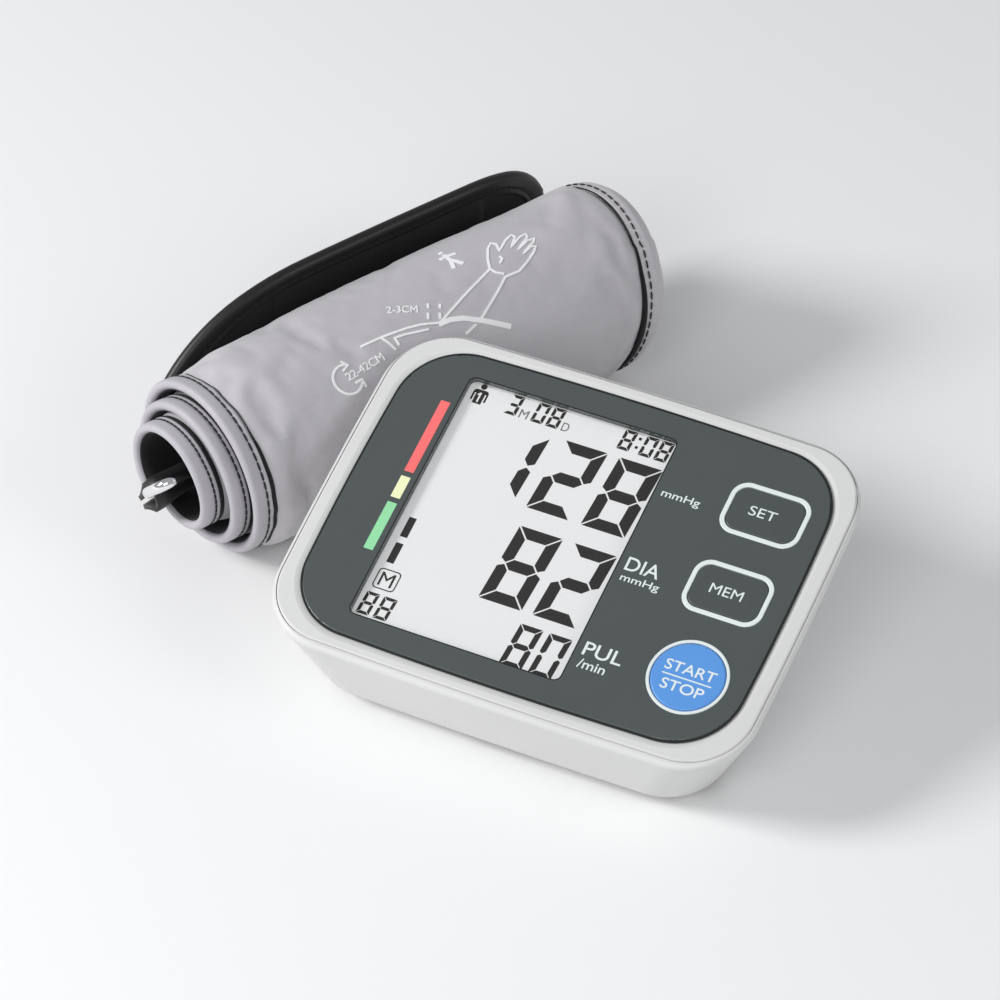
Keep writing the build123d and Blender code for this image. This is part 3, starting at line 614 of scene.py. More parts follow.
LABELS = [                 # name, text, box on the face, height, body, boldness
    ("unit_systolic", "mmHg", (16.9, 19.6, 27.2, 22.3), PANEL_TOP, "monitor", 0.006),
    ("mark_diastolic", "DIA", (16.9, -2.2, 25.9, 1.6), PANEL_TOP, "monitor", 0.006),
    ("unit_diastolic", "mmHg", (17.1, -5.9, 27.4, -3.3), PANEL_TOP, "monitor", 0.006),
    ("mark_pulse", "PUL", (16.9, -27.6, 27.2, -23.8), PANEL_TOP, "monitor", 0.006),
    ("unit_pulse", "/min", (17.1, -31.2, 24.4, -28.6), PANEL_TOP, "monitor", 0.006),
    ("word_set", "SET", (39.5, 22.5, 46.7, 25.2), KEY_TOP, "set_key", 0.0),
    ("word_memory", "MEM", (39.2, -1.0, 47.8, 1.7), KEY_TOP, "memory_key", 0.0),
    ("word_start", "START", (37.5, -24.2, 50.8, -21.3), START_TOP, "start_key", 0.008),
    ("word_stop", "STOP", (38.5, -29.4, 49.7, -26.5), START_TOP, "start_key", 0.008),
]
BANDS = [                  # name, colour and the ends along the face of the scale's three bands
    ("band_high", (250, 112, 112), 5.2, 27.3),
    ("band_raised", (236, 240, 192), -2.8, 3.7),
    ("band_normal", (146, 218, 164), -18.6, -4.3),
]


def print_marks():
    white = print_and_shade_look("ink_white", srgb(224, 232, 232))
    for name, text, box, height, body, bold in LABELS:
        label(name, text, box, height, white, body, bold)
    plates("start_rule", [rounded_box(37.6, -25.55, 50.7, -25.2, 0.15)], START_TOP - PRINT_THICK,
           START_TOP + PRINT_THICK, white, "start_key", "key_ring")
    for name, colour, low, high in BANDS:
        plates(name, [rounded_box(-47.2, low, -44.6, high, 0.12)], PANEL_TOP - PRINT_THICK,
               PANEL_TOP + PRINT_THICK, print_and_shade_look(name + "_ink", srgb(*colour)), "monitor", "key_ring")


# The LCD lies under the lens, so its marks sit a little to the left and back of where they seem to be.
LCD_SHIFT = (-0.76, 0.95)
LCD_LOW, LCD_HIGH = LENS_DEPTH - 0.02, LENS_DEPTH + 0.05      # underside and top of the LCD's marks


def lcd_shifted(outline):
    return [(x + LCD_SHIFT[0], y + LCD_SHIFT[1]) for x, y in outline]


def lcd_plates(name, outlines, look):
    plates(name, [lcd_shifted(outline) for outline in outlines], LCD_LOW, LCD_HIGH, look, "monitor", "lcd")


def lcd_letter(name, text, box, look):
    dx, dy = LCD_SHIFT
    box = (box[0] + dx, box[1] + dy, box[2] + dx, box[3] + dy)
    label(name, text, box, LENS_DEPTH + 0.02, look, "monitor", slot="lcd")


DIGITS = {                 # piece: stroke, gap and (figure, x0, y0, x1, y1) of its digits
    "digits_systolic": (3.1, 0.3, [("1", -33.0, 7.3, -16.2, 26.3), ("2", -13.7, 6.0, -0.5, 27.2),
                                   ("8", 1.4, 6.0, 14.6, 27.2)]),
    "digits_diastolic": (3.1, 0.3, [("8", -14.0, -21.6, -0.8, 0.6), ("2", 0.8, -21.6, 14.0, 0.6)]),
    "digits_pulse": (1.5, 0.18, [("8", -1.4, -37.0, 5.5, -24.8), ("0", 6.5, -37.0, 13.4, -24.8)]),
    "digits_small": (0.85, 0.12, [("8", -41.2, -35.9, -37.3, -29.4), ("8", -36.5, -35.9, -32.4, -29.4)]),
}
SCALE_BARS = [(-12.4, -6.5), (-20.3, -14.3)]
DATE_AND_TIME = [("3", -30.9), ("0", -23.4), ("8", -19.2), ("8", 0.6), ("0", 6.5), ("8", 10.7)]


def display_marks():
    dark = print_and_shade_look("lcd_dark", srgb(40, 38, 37), 0.5)
    faint = print_and_shade_look("lcd_grey", srgb(120, 120, 120), 0.5)
    for name, (stroke, gap, figures) in DIGITS.items():
        shapes = []
        if name == "digits_small":
            figures = figures + [(figure, left, 29.4, left + 3.7, 35.3) for figure, left in DATE_AND_TIME]
        for figure, *box in figures:
            shapes += digit(figure, *box, stroke, gap)
        if name == "digits_small":
            shapes += [rounded_box(5.0, y, 5.8, y + 0.8, 0.2) for y in (30.8, 33.4)]
            shapes += [rounded_box(-40.1, low, -38.1, high, 0.15) for low, high in SCALE_BARS]
        lcd_plates(name, shapes, dark)
    memory_sign(dark)
    person_sign(dark)
    lcd_letter("letter_month", "M", (-26.7, 29.4, -24.4, 31.9), faint)
    lcd_letter("letter_day", "D", (-14.9, 29.4, -13.0, 31.9), faint)


def window_shade_line():
    """Painted shade: a dark line round the display's window, where its recess is shaded."""
    low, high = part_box("display_lens")
    x0, x1 = (low.x - face_at.x) / MM, (high.x - face_at.x) / MM
    middle = FACE.inverted() @ ((low + high) / 2)
    y0, y1 = middle.y - WINDOW_HIGH / 2, middle.y + WINDOW_HIGH / 2
    outer = rounded_box(x0 - 0.35, y0 - 0.3, x1 + 0.35, y1 + 0.3, 2.1, 8)
    inner = rounded_box(x0 - 0.05, y0, x1 + 0.05, y1, 1.8, 8)
    # Painted shade: the black line stands for the shade at the window's edge.
    look = print_and_shade_look("window_shade_black", srgb(16, 17, 17), 0.4)
    low, high = PANEL_TOP - PRINT_THICK, PANEL_TOP + PRINT_THICK
    face_ring("window_shade_line", outer, inner, low, high, look, "frame_plastic")


def memory_sign(look):
    """Letter M in a rounded frame."""
    outer = lcd_shifted(rounded_box(-40.7, -28.0, -34.6, -22.1, 1.1))
    inner = lcd_shifted(rounded_box(-40.4, -27.7, -34.9, -22.4, 0.85))
    face_ring("memory_frame", outer, inner, LCD_LOW, LCD_HIGH, look, "lcd")
    lcd_letter("letter_memory", "M", (-39.5, -27.0, -35.8, -23.1), look)


def person_sign(look):
    """User sign: a head over a body with a figure one in it."""
    middle, lift = -38.6, 0.6
    head = oval(0, 34.1, 0.85, 0.85, range(0, 360, 30))
    arm = [(-2.1, 29.7), (-1.6, 29.7), (-1.6, 31.9), (-1.15, 32.1), (-1.15, 33.1), (-1.6, 33.0), (-2.0, 32.6),
           (-2.1, 32.0)]
    trunk_left = [(-1.2, 28.9), (-0.25, 28.9), (-0.25, 31.5), (-0.7, 31.3), (-0.7, 31.8), (-0.15, 32.3),
                  (-0.15, 33.1), (-1.2, 33.1)]
    trunk_right = [(0.25, 28.9), (1.2, 28.9), (1.2, 33.1), (-0.15, 33.1), (-0.15, 32.3), (0.25, 32.3)]
    foot = [(-0.25, 28.9), (0.25, 28.9), (0.25, 29.4), (-0.25, 29.4)]
    shapes = [head, arm, [(-x, y) for x, y in reversed(arm)], trunk_left, trunk_right, foot]
    lcd_plates("user_sign", [[(middle + x, y + lift) for x, y in shape] for shape in shapes], look)


# ---- cuff: where a point of the flat strip lies on the roll ----

def turn_centre(k):
    low = (0.0, OUT_RADIUS)
    if k % 2 == 1:
        return low
    y, z = heading(START_ANGLE)
    return low[0] - PITCH / 2 * y, low[1] - PITCH / 2 * z


def ease(value, start, end):
    t = max(0.0, min(1.0, (value - start) / (end - start)))
    return t * t * (3 - 2 * t)


def left_edge(angle):
    """Left end of the strip at an angle along the spiral."""
    return TELESCOPE * ((angle - START_ANGLE) / (180 * HALF_TURNS) - 1)


def ripple(x, y, seed):
    """Smooth noise over a plane."""
    return noise.noise(Vector((x, y, seed)))


FOLD_ROWS, FOLD_COLUMNS = 84, 58
FOLD_START = FULL_ANGLE - 410          # the outermost turn's folds set in here
FOLD_FULL = FULL_ANGLE - 350           # and are full from here on
SEAM_PUCKERS = [           # seam, height, reach, flat margin, waves per mm and seed of its puckers
    (RIGHT_SEAM, 2.4, 12, 4, 0.15, 1.3),
    (LEFT_SEAM, 1.0, 7, 3, 0.2, 5.9),
]
folds = []                 # heights on the outermost turn, filled in once the cloth has settled


def crease(x, angle):
    """Height of the soft folds the outermost turn starts with."""
    arc = math.radians(angle) * OUT_RADIUS
    span = ease(x, LEFT_SEAM, LEFT_SEAM + 12) * ease(RIGHT_SEAM - x, 0, 7)
    over, side = arc * 0.97 + x * 0.24, x * 0.97 - arc * 0.24
    rise = 3.2 * ripple(over * 0.07, side * 0.013, 3.1) * span
    rise += 1.2 * ripple(over * 0.15, side * 0.03, 7.7) * span
    for seam, height, reach, margin, pitch, seed in SEAM_PUCKERS:
        off = abs(x - seam)
        rise += height * math.exp(-off / reach) * ripple(arc * pitch, x * 0.03, seed) * ease(off, 0, margin)
    return rise * ease(angle, FOLD_START, FOLD_FULL)


def fold_place(row, column):
    x = LEFT_SEAM + (RIGHT_SEAM - LEFT_SEAM) * column / (FOLD_COLUMNS - 1)
    return x, FOLD_START + (FULL_ANGLE - FOLD_START) * row / (FOLD_ROWS - 1)


def wrinkle(x, angle):
    """Height of the settled folds at a place on the outermost turn."""
    if not folds or angle <= FOLD_START:
        return 0.0
    row = (angle - FOLD_START) / (FULL_ANGLE - FOLD_START) * (FOLD_ROWS - 1)
    column = (x - LEFT_SEAM) / (RIGHT_SEAM - LEFT_SEAM) * (FOLD_COLUMNS - 1)
    row = max(0.0, min(FOLD_ROWS - 1.001, row))
    column = max(0.0, min(FOLD_COLUMNS - 1.001, column))
    i, j = int(row), int(column)
    a, b = row - i, column - j
    low, high = (folds[k][j] * (1 - b) + folds[k][j + 1] * b for k in (i, i + 1))
    return low * (1 - a) + high * a


END_TAPER = 3.8            # how far the padded right end draws in all round
END_DROP = 1.6             # and how much more at its top and back
LEFT_FULL, RIGHT_FULL, END_FULL = 1.8, 2.2, 0.8      # extra fullness along the roll's upper back
SHEAR = 6.0                # how far the right end's top leans out along the roll, and its foot in
CORE_SQUEEZE = 0.08        # the inner turns' left ends are a little tighter,
CORE_LIFT, CORE_OUT = 2.0, 1.8         # sit higher and stand further out
LEFT_LIFT = 1.2            # the left end stands up and is wider than high
FLOOR_GAP, PRESSED = 0.1, 0.9          # the cloth lies flat on the table, its layers in order


def on_roll(x, depth, angle):
    """Point of the strip in the row frame: x from its left edge, depth from its inner face."""
    k = max(0, min(HALF_TURNS - 1, math.floor((angle - START_ANGLE) / 180)))
    centre = turn_centre(k)
    radius = CORE_R + PITCH / 2 * k + depth
    radius += wrinkle(x, angle) * max(0.0, depth / STRIP)
    radius -= END_TAPER * ease(x, RIGHT_SEAM - 1, CUFF_WIDTH + 3) ** 2
    radius -= END_DROP * ease(x, RIGHT_SEAM - 3, CUFF_WIDTH) * max(0.0, heading(angle - 65)[0])
    y, z = heading(angle)
    at = left_edge(angle) + x
    inner = (1 - ease(angle - START_ANGLE, 100, 520)) * (1 - ease(x, 5, 40))
    radius *= 1 - CORE_SQUEEZE * inner
    full = LEFT_FULL * ease(at, 2, 16) * (1 - ease(at, 36, 98)) + RIGHT_FULL * ease(at, 26, 108)
    radius += (full + END_FULL * ease(at, 100, 118)) * max(0.0, heading(angle - 55)[0])
    near_left = 1 - ease(at, -8, 18)
    at += SHEAR * ease(at, 70, 122) * radius * z / OUT_RADIUS - CORE_OUT * inner
    height = centre[1] + radius * z + LEFT_LIFT * near_left + CORE_LIFT * inner
    height = max(height, FLOOR_GAP + PRESSED * max(0.0, STRIP - depth))
    return CUFF @ Vector((at, centre[0] + radius * y * (1 + 0.03 * near_left), height))


def settle_cloth():
    """Let the outermost turn, a little too large for its roll, settle between its seams."""
    base, ways, rises = [], [], []
    for i in range(FOLD_ROWS):
        for j in range(FOLD_COLUMNS):
            x, angle = fold_place(i, j)
            y, z = heading(angle)
            base.append(on_roll(x, STRIP, angle))
            ways.append((across * y + UP * z).normalized())
            rises.append(crease(x, angle))
    rises = simulate(base, ways, rises)
    for i in range(FOLD_ROWS):
        folds.append(rises[i * FOLD_COLUMNS:(i + 1) * FOLD_COLUMNS])


SIM_SCALE = 20             # the cloth is simulated enlarged
SIM_FRAMES = 20
HIGHEST_FOLD, DEEPEST_FOLD = 1.1, 0.6
CLOTH_SETTINGS = {
    "quality": 6,
    "mass": 0.05,
    "tension_stiffness": 20,
    "compression_stiffness": 20,
    "shear_stiffness": 10,
    "bending_stiffness": 0.4,
    "shrink_min": -0.025,
    "use_pressure": True,
    "uniform_pressure_force": 1.0,
    "vertex_group_mass": "pins",
}


def simulate(base, ways, rises):
    """Heights after a short cloth simulation with pinned seams and light pressure."""
    mesh = bpy.data.meshes.new("settling")
    starts = [(point + way * rise * MM) * SIM_SCALE for point, way, rise in zip(base, ways, rises)]
    corners = [i * FOLD_COLUMNS + j for i in range(FOLD_ROWS - 1) for j in range(FOLD_COLUMNS - 1)]
    faces = [(a, a + FOLD_COLUMNS, a + FOLD_COLUMNS + 1, a + 1) for a in corners]
    mesh.from_pydata([tuple(point) for point in starts], [], faces)
    sheet = linked("settling", mesh)
    pins = sheet.vertex_groups.new(name="pins")
    rim = [i * FOLD_COLUMNS + j for i in range(FOLD_ROWS) for j in range(FOLD_COLUMNS)
           if j in (0, FOLD_COLUMNS - 1) or i in (0, FOLD_ROWS - 1)]
    pins.add(rim, 1.0, "REPLACE")
    cloth = sheet.modifiers.new("cloth", "CLOTH")
    for key, value in CLOTH_SETTINGS.items():
        setattr(cloth.settings, key, value)
    cloth.settings.effector_weights.gravity = 0
    cloth.collision_settings.use_collision = False
    cloth.point_cache.frame_start = 1
    cloth.point_cache.frame_end = SIM_FRAMES
    scene = bpy.context.scene
    for number in range(1, SIM_FRAMES + 1):
        scene.frame_set(number)
    settled = sheet.evaluated_get(bpy.context.evaluated_depsgraph_get())
    found = []
    for vertex, point, way in zip(settled.data.vertices, base, ways):
        rise = (vertex.co / SIM_SCALE - point).dot(way) / MM
        limit = HIGHEST_FOLD if rise > 0 else DEEPEST_FOLD
        found.append(limit * math.tanh(rise / limit))
    bpy.data.objects.remove(sheet)
    bpy.data.meshes.remove(mesh)
    scene.frame_set(1)
    return found


WRAP_R = 20                # radius that turns angles into places along the flat strip, for the weave


def strip(name, profile, look, slot, start=START_ANGLE, end=FULL_ANGLE, step=4.0):
    """Closed strip wound round the roll; its profile of (x, depth) may change with the angle."""
    rows = int((end - start) / step) + 1
    points, cloth = [], []
    for i in range(rows):
        angle = start + (end - start) * i / (rows - 1)
        for x, depth in profile(angle):
            points.append(on_roll(x, depth, angle))
            cloth.append((x * MM, math.radians(angle) * WRAP_R * MM, depth * MM))
    return piece(name, points, tube_faces(rows, len(profile(start))), look, "cuff", slot, cloth=cloth)


def dip(x, middle, width):
    """A groove's depth, 1 at its middle."""
    return math.exp(-((x - middle) / width) ** 2)


def sheet_profile(top, thick, xs):
    """Closed profile of a thin sheet under a curve depth = top(x)."""
    upper = [(x, top(x)) for x in xs]
    lower = [(x, top(x) - thick) for x in reversed(xs)]
    return lambda angle: upper + lower


def cover_top(x):
    """Outer cloth: pinched at both seams, padded between them."""
    return 1.75 + 1.45 * ease(x, LEFT_SEAM, LEFT_SEAM + 6) * ease(RIGHT_SEAM - x, -1, 5)


def lining_top(x):
    """Lining: laps over the binding's inner side, then lies against the padding."""
    return 0.12 + 0.6 * ease(x, LEFT_SEAM + 1, LEFT_SEAM + 6)


def binding_profile(angle):
    """Folded tape round the strip's left edge, with the groove of its stitches."""
    low, high, end = 0.1, 2.75, LEFT_SEAM + 1.3
    middle, radius = (low + high) / 2, (high - low) / 2
    xs = line(radius + 0.3, end - 0.15, 9)
    bend = oval(radius, middle, -radius, radius, range(-80, 81, 20))
    top = [(x, high - 0.3 * dip(x, LEFT_SEAM, 0.45)) for x in xs]
    rear = [(end, high - 0.2), (end, low + 0.2)]
    under = [(x, low + 0.3 * dip(x, LEFT_SEAM, 0.45)) for x in reversed(xs)]
    return bend + top + rear + under


def end_profile(angle):
    """Padded right end: pinched at its seam, full, and rounded over at the edge."""
    start, edge = RIGHT_SEAM + 0.9, CUFF_WIDTH - 2.2
    top = [(x, 2.3 + 1.3 * ease(x, start, start + 4)) for x in line(start, edge, 12)]
    under = [(x, 0.1 + 0.4 * (1 - ease(x, start, start + 4))) for x in line(edge, start, 6)]
    return top + oval(edge, 1.8, 2.2, 1.8, range(75, -76, -25)) + under


def cord(x, depth, size, flat):
    """Oval profile of a dark cord laid in a seam as the seam's painted shade."""
    return oval(x, depth, size, flat * size, range(0, 360, 45))


def cord_profile(angle):
    """Painted shade: a dark cord in the right seam, thicker low on the roll's front."""
    size = 0.28 + 0.9 * ease(angle % 360, 125, 190) * (1 - ease(angle % 360, 200, 280))
    return cord(RIGHT_SEAM + 0.3, 2.3, size, 0.6)


def edge_cord_profile(angle):
    """Dark cord behind the left binding: all round inside, and thicker low on the front outside as painted
    shade.
    """
    low_front = ease(angle % 360, 120, 165) * (1 - ease(angle % 360, 235, 280))
    inside = 1 - ease(angle, FULL_ANGLE - 380, FOLD_FULL)
    return cord(LEFT_SEAM + 1.9, 2.35, 0.15 + 0.6 * max(low_front, inside), 0.55)


STITCH_RING = 6            # points round the thread
STITCH_R = 22.0            # radius at which a stitch's length and pitch are measured


def dash(rows, thick, place):
    """One stitch from rows of (shift along it, size); place(shift, side, rise) gives its points."""
    points = []
    for shift, size in rows:
        for j in range(STITCH_RING):
            side, rise = heading(360 / STITCH_RING * j)
            points.append(place(shift, side * thick * size, rise * thick * size))
    return points, tube_faces(len(rows), STITCH_RING)


def stitches(name, x, depth, start, end, pitch, long, thick, look):
    """Dashes of thread along the roll at one place across the strip."""
    arc = math.degrees(1 / STITCH_R)
    count = int((end - start) / (pitch * arc))
    rows = [(-0.5, 0.25), (-0.36, 0.85), (0, 1.0), (0.36, 0.85), (0.5, 0.25)]
    shapes = []
    for i in range(count):
        middle = start + (i + 0.5) * (end - start) / count
        shapes.append(dash(rows, thick, lambda shift, side, rise: on_roll(
            x + side, depth + rise * 0.8, middle + shift * long * arc)))
    piece(name, *joined(shapes), look, "cuff", "cuff_dark")


def build_roll():
    grey = nylon("cuff_nylon", srgb(191, 188, 192))
    edge = tape("binding_grey", srgb(180, 177, 183))
    dark = brushed_cloth("lining_and_shade_black", srgb(11, 10, 12))
    black = thread("thread_black", srgb(22, 22, 24))
    cover_xs, lining_xs = line(LEFT_SEAM + 0.4, RIGHT_SEAM + 0.4, 90), line(1.1, RIGHT_SEAM + 2, 40)
    cover = strip("cuff_outer_cloth", sheet_profile(cover_top, 0.5, cover_xs), grey, "cuff_cloth", step=2.5)
    lining = strip("cuff_lining_cloth", sheet_profile(lining_top, 0.35, lining_xs), dark, "cuff_dark")
    binding = strip("cuff_left_binding", binding_profile, edge, "cuff_edge", step=3.0)
    closing = strip("cuff_right_end", end_profile, grey, "cuff_edge", step=3.0)
    film = rubber("bladder_film", srgb(70, 70, 74), 0.5)
    bladder = strip("air_bladder", sheet_profile(lambda x: 1.5, 0.7, line(16, 116, 20)), film, "bladder",
                    START_ANGLE + 360, START_ANGLE + 900)
    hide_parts("cuff_fabric")
    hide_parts("cuff_lining")
    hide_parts("left_edge_binding")
    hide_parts("right_edge_binding")
    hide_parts("cuff_bladder")
    seam_start = FULL_ANGLE - 400
    # The dark cords in the seams are painted shade, made with the black lining's cloth.
    strip("seam_shade_cord", cord_profile, dark, "cuff_dark", seam_start)
    # The left cord is thicker low on the front, as painted shade of the binding's groove.
    strip("edge_cord_and_shade", edge_cord_profile, dark, "cuff_dark")
    stitches("left_stitches", LEFT_SEAM, 2.55, START_ANGLE + 10, FULL_ANGLE, 2.4, 2.3, 0.34, black)
    stitches("right_stitches", RIGHT_SEAM + 2.2, 2.9, seam_start, FULL_ANGLE, 2.4, 2.0, 0.28, black)


# ---- cuff: printed wearing instructions ----

INK_LINES = {              # (place along the roll, angle round it) of each drawn line's points
    "arm_upper": [(89.4, 103), (79, 111), (68.5, 119.5)],
    "arm_lower": [(91.3, 112), (87, 118.3), (79, 128.5)],
    "elbow": [(77, 130), (73, 132.5)],
    "wrist": [(89.4, 103), (90, 107), (91.6, 110)],
    "palm": [(93.9, 98), (94, 100.4), (92.6, 102.4)],
    "hand": [(89.4, 103), (90.8, 96.5), (93.2, 89.3), (95.2, 86), (96, 88.5), (95, 94.5), (98.6, 89),
             (101, 86.8), (101.3, 89.5), (98, 96), (101.9, 91.2), (103.9, 90.6), (103.6, 93.5), (98.8, 99.6),
             (103, 95.9), (104.6, 96.4), (103.6, 98.9), (99.2, 103.4), (102.4, 101), (103.4, 102.3),
             (101.7, 105.5), (98.5, 109.5), (95.6, 112.3), (91.3, 112)],
    "cuff_edge": [(45.0, 112.2), (51.2, 112.5), (58.7, 114.2), (62.9, 116.1), (67.4, 119.6)],
    "cuff_side": [(51.2, 112.6), (52.2, 117.7), (52.9, 123.3)],
    "cuff_front": [(54.4, 121.6), (54.4, 116.5), (57.4, 117.4), (60.2, 118.7), (64.1, 120.7)],
    "gap_left_high": [(68.3, 106.2), (67.5, 109)],
    "gap_left_low": [(66.6, 111.5), (65.6, 115)],
    "gap_right_high": [(71.1, 109.6), (70.3, 112.2)],
    "gap_right_low": [(69.5, 114.6), (68.5, 118)],
    "arrow_high": [(37.6, 115.2), (38.9, 119), (36.6, 120.9)],
    "arrow_low": [(38.0, 130.4), (40.2, 130.1), (40.3, 135)],
}
WALKER = [                 # the walking figure's strokes, broader than the lines
    [(81.6, 79.9), (83.7, 79.4), (86.2, 80.6)],
    [(83.7, 77), (83.4, 84), (81.8, 91.8)],
    [(83.4, 84), (84.9, 91.6)],
]
WALKER_HEAD = [(83.3, 74), (84.3, 74)]
INK_BAND = [(67.4, 120.6), (70.8, 121), (74.5, 123.6), (78.9, 129.4), (86, 139.6)]
TURN_MARK = (36.7, 126.4)
TURN_MARK_R = 4.0
INK_WIDTH = 0.6
INK_LOW, INK_HIGH = -0.25, 0.14        # underside and top of the ink over the cloth's surface
WALKER_WIDTH = 1.0
BAND_WIDTH = 1.4
OUTER_TURN = 720           # angle of the spiral at the outermost turn's rear
PRINT_BACK = 1.7           # the drawing's right part is moved back to make up for the roll's shear
ARC_PER_DEGREE = math.pi / 180 * OUT_RADIUS


def on_print(x, arc, height):
    """Point over the outer turn's cloth at an arc length from the roll's rear."""
    straight = x - PRINT_BACK * ease(x, 70, 104)
    return on_roll(straight, cover_top(x) + height, OUTER_TURN + arc / ARC_PER_DEGREE)


def ink_strip(path, width):
    """Points and faces of a thin flat line through (x, arc) places."""
    fine = [path[0]]
    for (x0, s0), (x1, s1) in zip(path, path[1:]):
        count = max(1, round(math.hypot(x1 - x0, s1 - s0)))
        fine += [(x0 + (x1 - x0) * i / count, s0 + (s1 - s0) * i / count) for i in range(1, count + 1)]
    points = []
    for i, (x, arc) in enumerate(fine):
        dx, ds = step_at(fine, i)
        nx, ns = -ds * width / 2, dx * width / 2
        left, right = (x - nx, arc - ns), (x + nx, arc + ns)
        points += [on_print(*left, INK_LOW), on_print(*right, INK_LOW)]
        points += [on_print(*right, INK_HIGH), on_print(*left, INK_HIGH)]
    return points, tube_faces(len(fine), 4)


def ink_text(name, text, corner, run, rise, look):
    """Lettering on the roll: corner, direction of the line and of its height, in (x, arc)."""
    mesh = letter_mesh(name, text)
    wide = max(vertex.co.x for vertex in mesh.vertices)
    tall = max(vertex.co.y for vertex in mesh.vertices)
    points = []
    for vertex in mesh.vertices:
        a, b = vertex.co.x / wide, vertex.co.y / tall
        x = corner[0] + a * run[0] + b * rise[0]
        arc = corner[1] + a * run[1] + b * rise[1]
        points.append(on_print(x, arc, INK_HIGH if vertex.co.z > 0 else INK_LOW))
    faces = [tuple(face.vertices) for face in mesh.polygons]
    bpy.data.meshes.remove(mesh)
    piece(name, points, faces, look, "cuff", "cuff_cloth", smooth=False)


def print_pictogram():
    white = print_and_shade_look("ink_cloth", srgb(246, 246, 248), 0.5)
    mark_x, mark_arc = TURN_MARK[0], TURN_MARK[1] * ARC_PER_DEGREE
    ring = oval(mark_x, mark_arc, TURN_MARK_R, TURN_MARK_R, range(-57, -336, -9))
    drawn = [(path, INK_WIDTH) for path in INK_LINES.values()]
    walker = [(path, WALKER_WIDTH) for path in WALKER] + [(INK_BAND, BAND_WIDTH), (WALKER_HEAD, WALKER_WIDTH)]
    flat = [([(x, angle * ARC_PER_DEGREE) for x, angle in path], width) for path, width in drawn + walker]
    flat.insert(len(drawn), (ring, INK_WIDTH))
    shapes = [ink_strip(path, width) for path, width in flat]
    piece("cuff_pictogram", *joined(shapes), white, "cuff", "cuff_cloth", smooth=False)
    ink_text("arm_range", "22-42CM", (36.6, 57.0), (12.2, -1.1), (-0.2, -2.2), white)
    ink_text("elbow_gap", "2-3CM", (57.2, 44.4), (7.2, 3.9), (1.2, -1.9), white)


# ---- cuff: the loose end ----

def flap_centre():
    y, z = turn_centre(HALF_TURNS - 1)
    way = heading(START_ANGLE)
    middle = CORE_R + PITCH / 2 * (HALF_TURNS - 1) + STRIP / 2
    side = heading(FLAP_START - 1.0)
    return y + middle * way[0] - FLAP_R * side[0], z + middle * way[1] - FLAP_R * side[1]


FLAP_LEFT, FLAP_RIGHT = 4.6, 135.0
FLAP_TOP = 48.2
SWEEP_LOW = 24.0           # the left edge goes over into a long sweep here
SWEEP_END = 54.0           # and the sweep reaches the top here
SWEEP_POWER = 2.15
CORNER_LONG, CORNER_HIGH = 26.0, 16.8     # half axes of the rounded right corner


def flap_height(x):
    """Height of the loose end's outline at a place along the roll."""
    part = min(1.0, (x - FLAP_RIGHT + CORNER_LONG) / CORNER_LONG)
    if part > 0:
        return FLAP_TOP - CORNER_HIGH + CORNER_HIGH * math.sqrt(1 - part ** 2)
    t = min(1.0, (x - FLAP_LEFT) / (SWEEP_END - FLAP_LEFT))
    return SWEEP_LOW + (FLAP_TOP - SWEEP_LOW) * (1 - (1 - t) ** SWEEP_POWER)


def flap_angle(height):
    y, z = flap_centre()
    return math.degrees(math.asin(max(-1.0, min(1.0, (height - z) / FLAP_R))))


def on_flap(x, angle, depth):
    """Point of the loose end: depth is measured away from the roll from its middle."""
    y, z = flap_centre()
    out, up = heading(angle)
    sway = 0.5 * ripple(x * 0.03, angle * 0.03, 2.2)
    radius = FLAP_R + depth + sway * ease(angle, -50, -20)
    return CUFF @ Vector((x, y + radius * out, z + radius * up))


def flap_columns():
    """Places along the roll, closer together round the corner."""
    corner = [FLAP_RIGHT - CORNER_LONG + CORNER_LONG * heading(a)[1] for a in range(0, 91, 6)]
    sweep = [FLAP_LEFT + (SWEEP_END - FLAP_LEFT) * (i / 20) ** 1.5 for i in range(20)]
    return sweep + line(SWEEP_END, FLAP_RIGHT - CORNER_LONG - 2, 26) + corner


def flap_slab(name, depths, columns, angles, look, body, slot):
    """Closed thin sheet between two depths; angles(x) are the places up each column."""
    points, cloth = [], []
    for depth in depths:
        for x in columns:
            for angle in angles(x):
                points.append(on_flap(x, angle, depth))
                cloth.append((x * MM, math.radians(angle) * FLAP_R * MM, depth * MM))
    count, side = len(columns), len(points) // 2
    rows = side // count
    faces = []
    for i in range(count - 1):
        for j in range(rows - 1):
            a, b = i * rows + j, (i + 1) * rows + j
            faces.append((a, b, b + 1, a + 1))
            faces.append((a + side, a + 1 + side, b + 1 + side, b + side))
    border = [i * rows for i in range(count)] + [(count - 1) * rows + j for j in range(1, rows)]
    border += [i * rows + rows - 1 for i in range(count - 2, -1, -1)] + [j for j in range(rows - 2, 0, -1)]
    for a, b in zip(border, border[1:] + border[:1]):
        faces.append((a, a + side, b + side, b))
    return piece(name, points, faces, look, body, slot, cloth=cloth)


FLAP_INSET = 0.8           # the cloths end this far inside the binding's edge


def flap_sheet(name, inner, outer, look, slot):
    """One of the loose end's two cloths, over its outline."""
    share = (FLAP_RIGHT - FLAP_LEFT - 2 * FLAP_INSET) / (FLAP_RIGHT - FLAP_LEFT)
    columns = [FLAP_LEFT + FLAP_INSET + (x - FLAP_LEFT) * share for x in flap_columns()]

    def angles(x):
        return line(FLAP_START, flap_angle(flap_height(x) - FLAP_INSET), 26)

    return flap_slab(name, (inner, outer), columns, angles, look, None, slot)


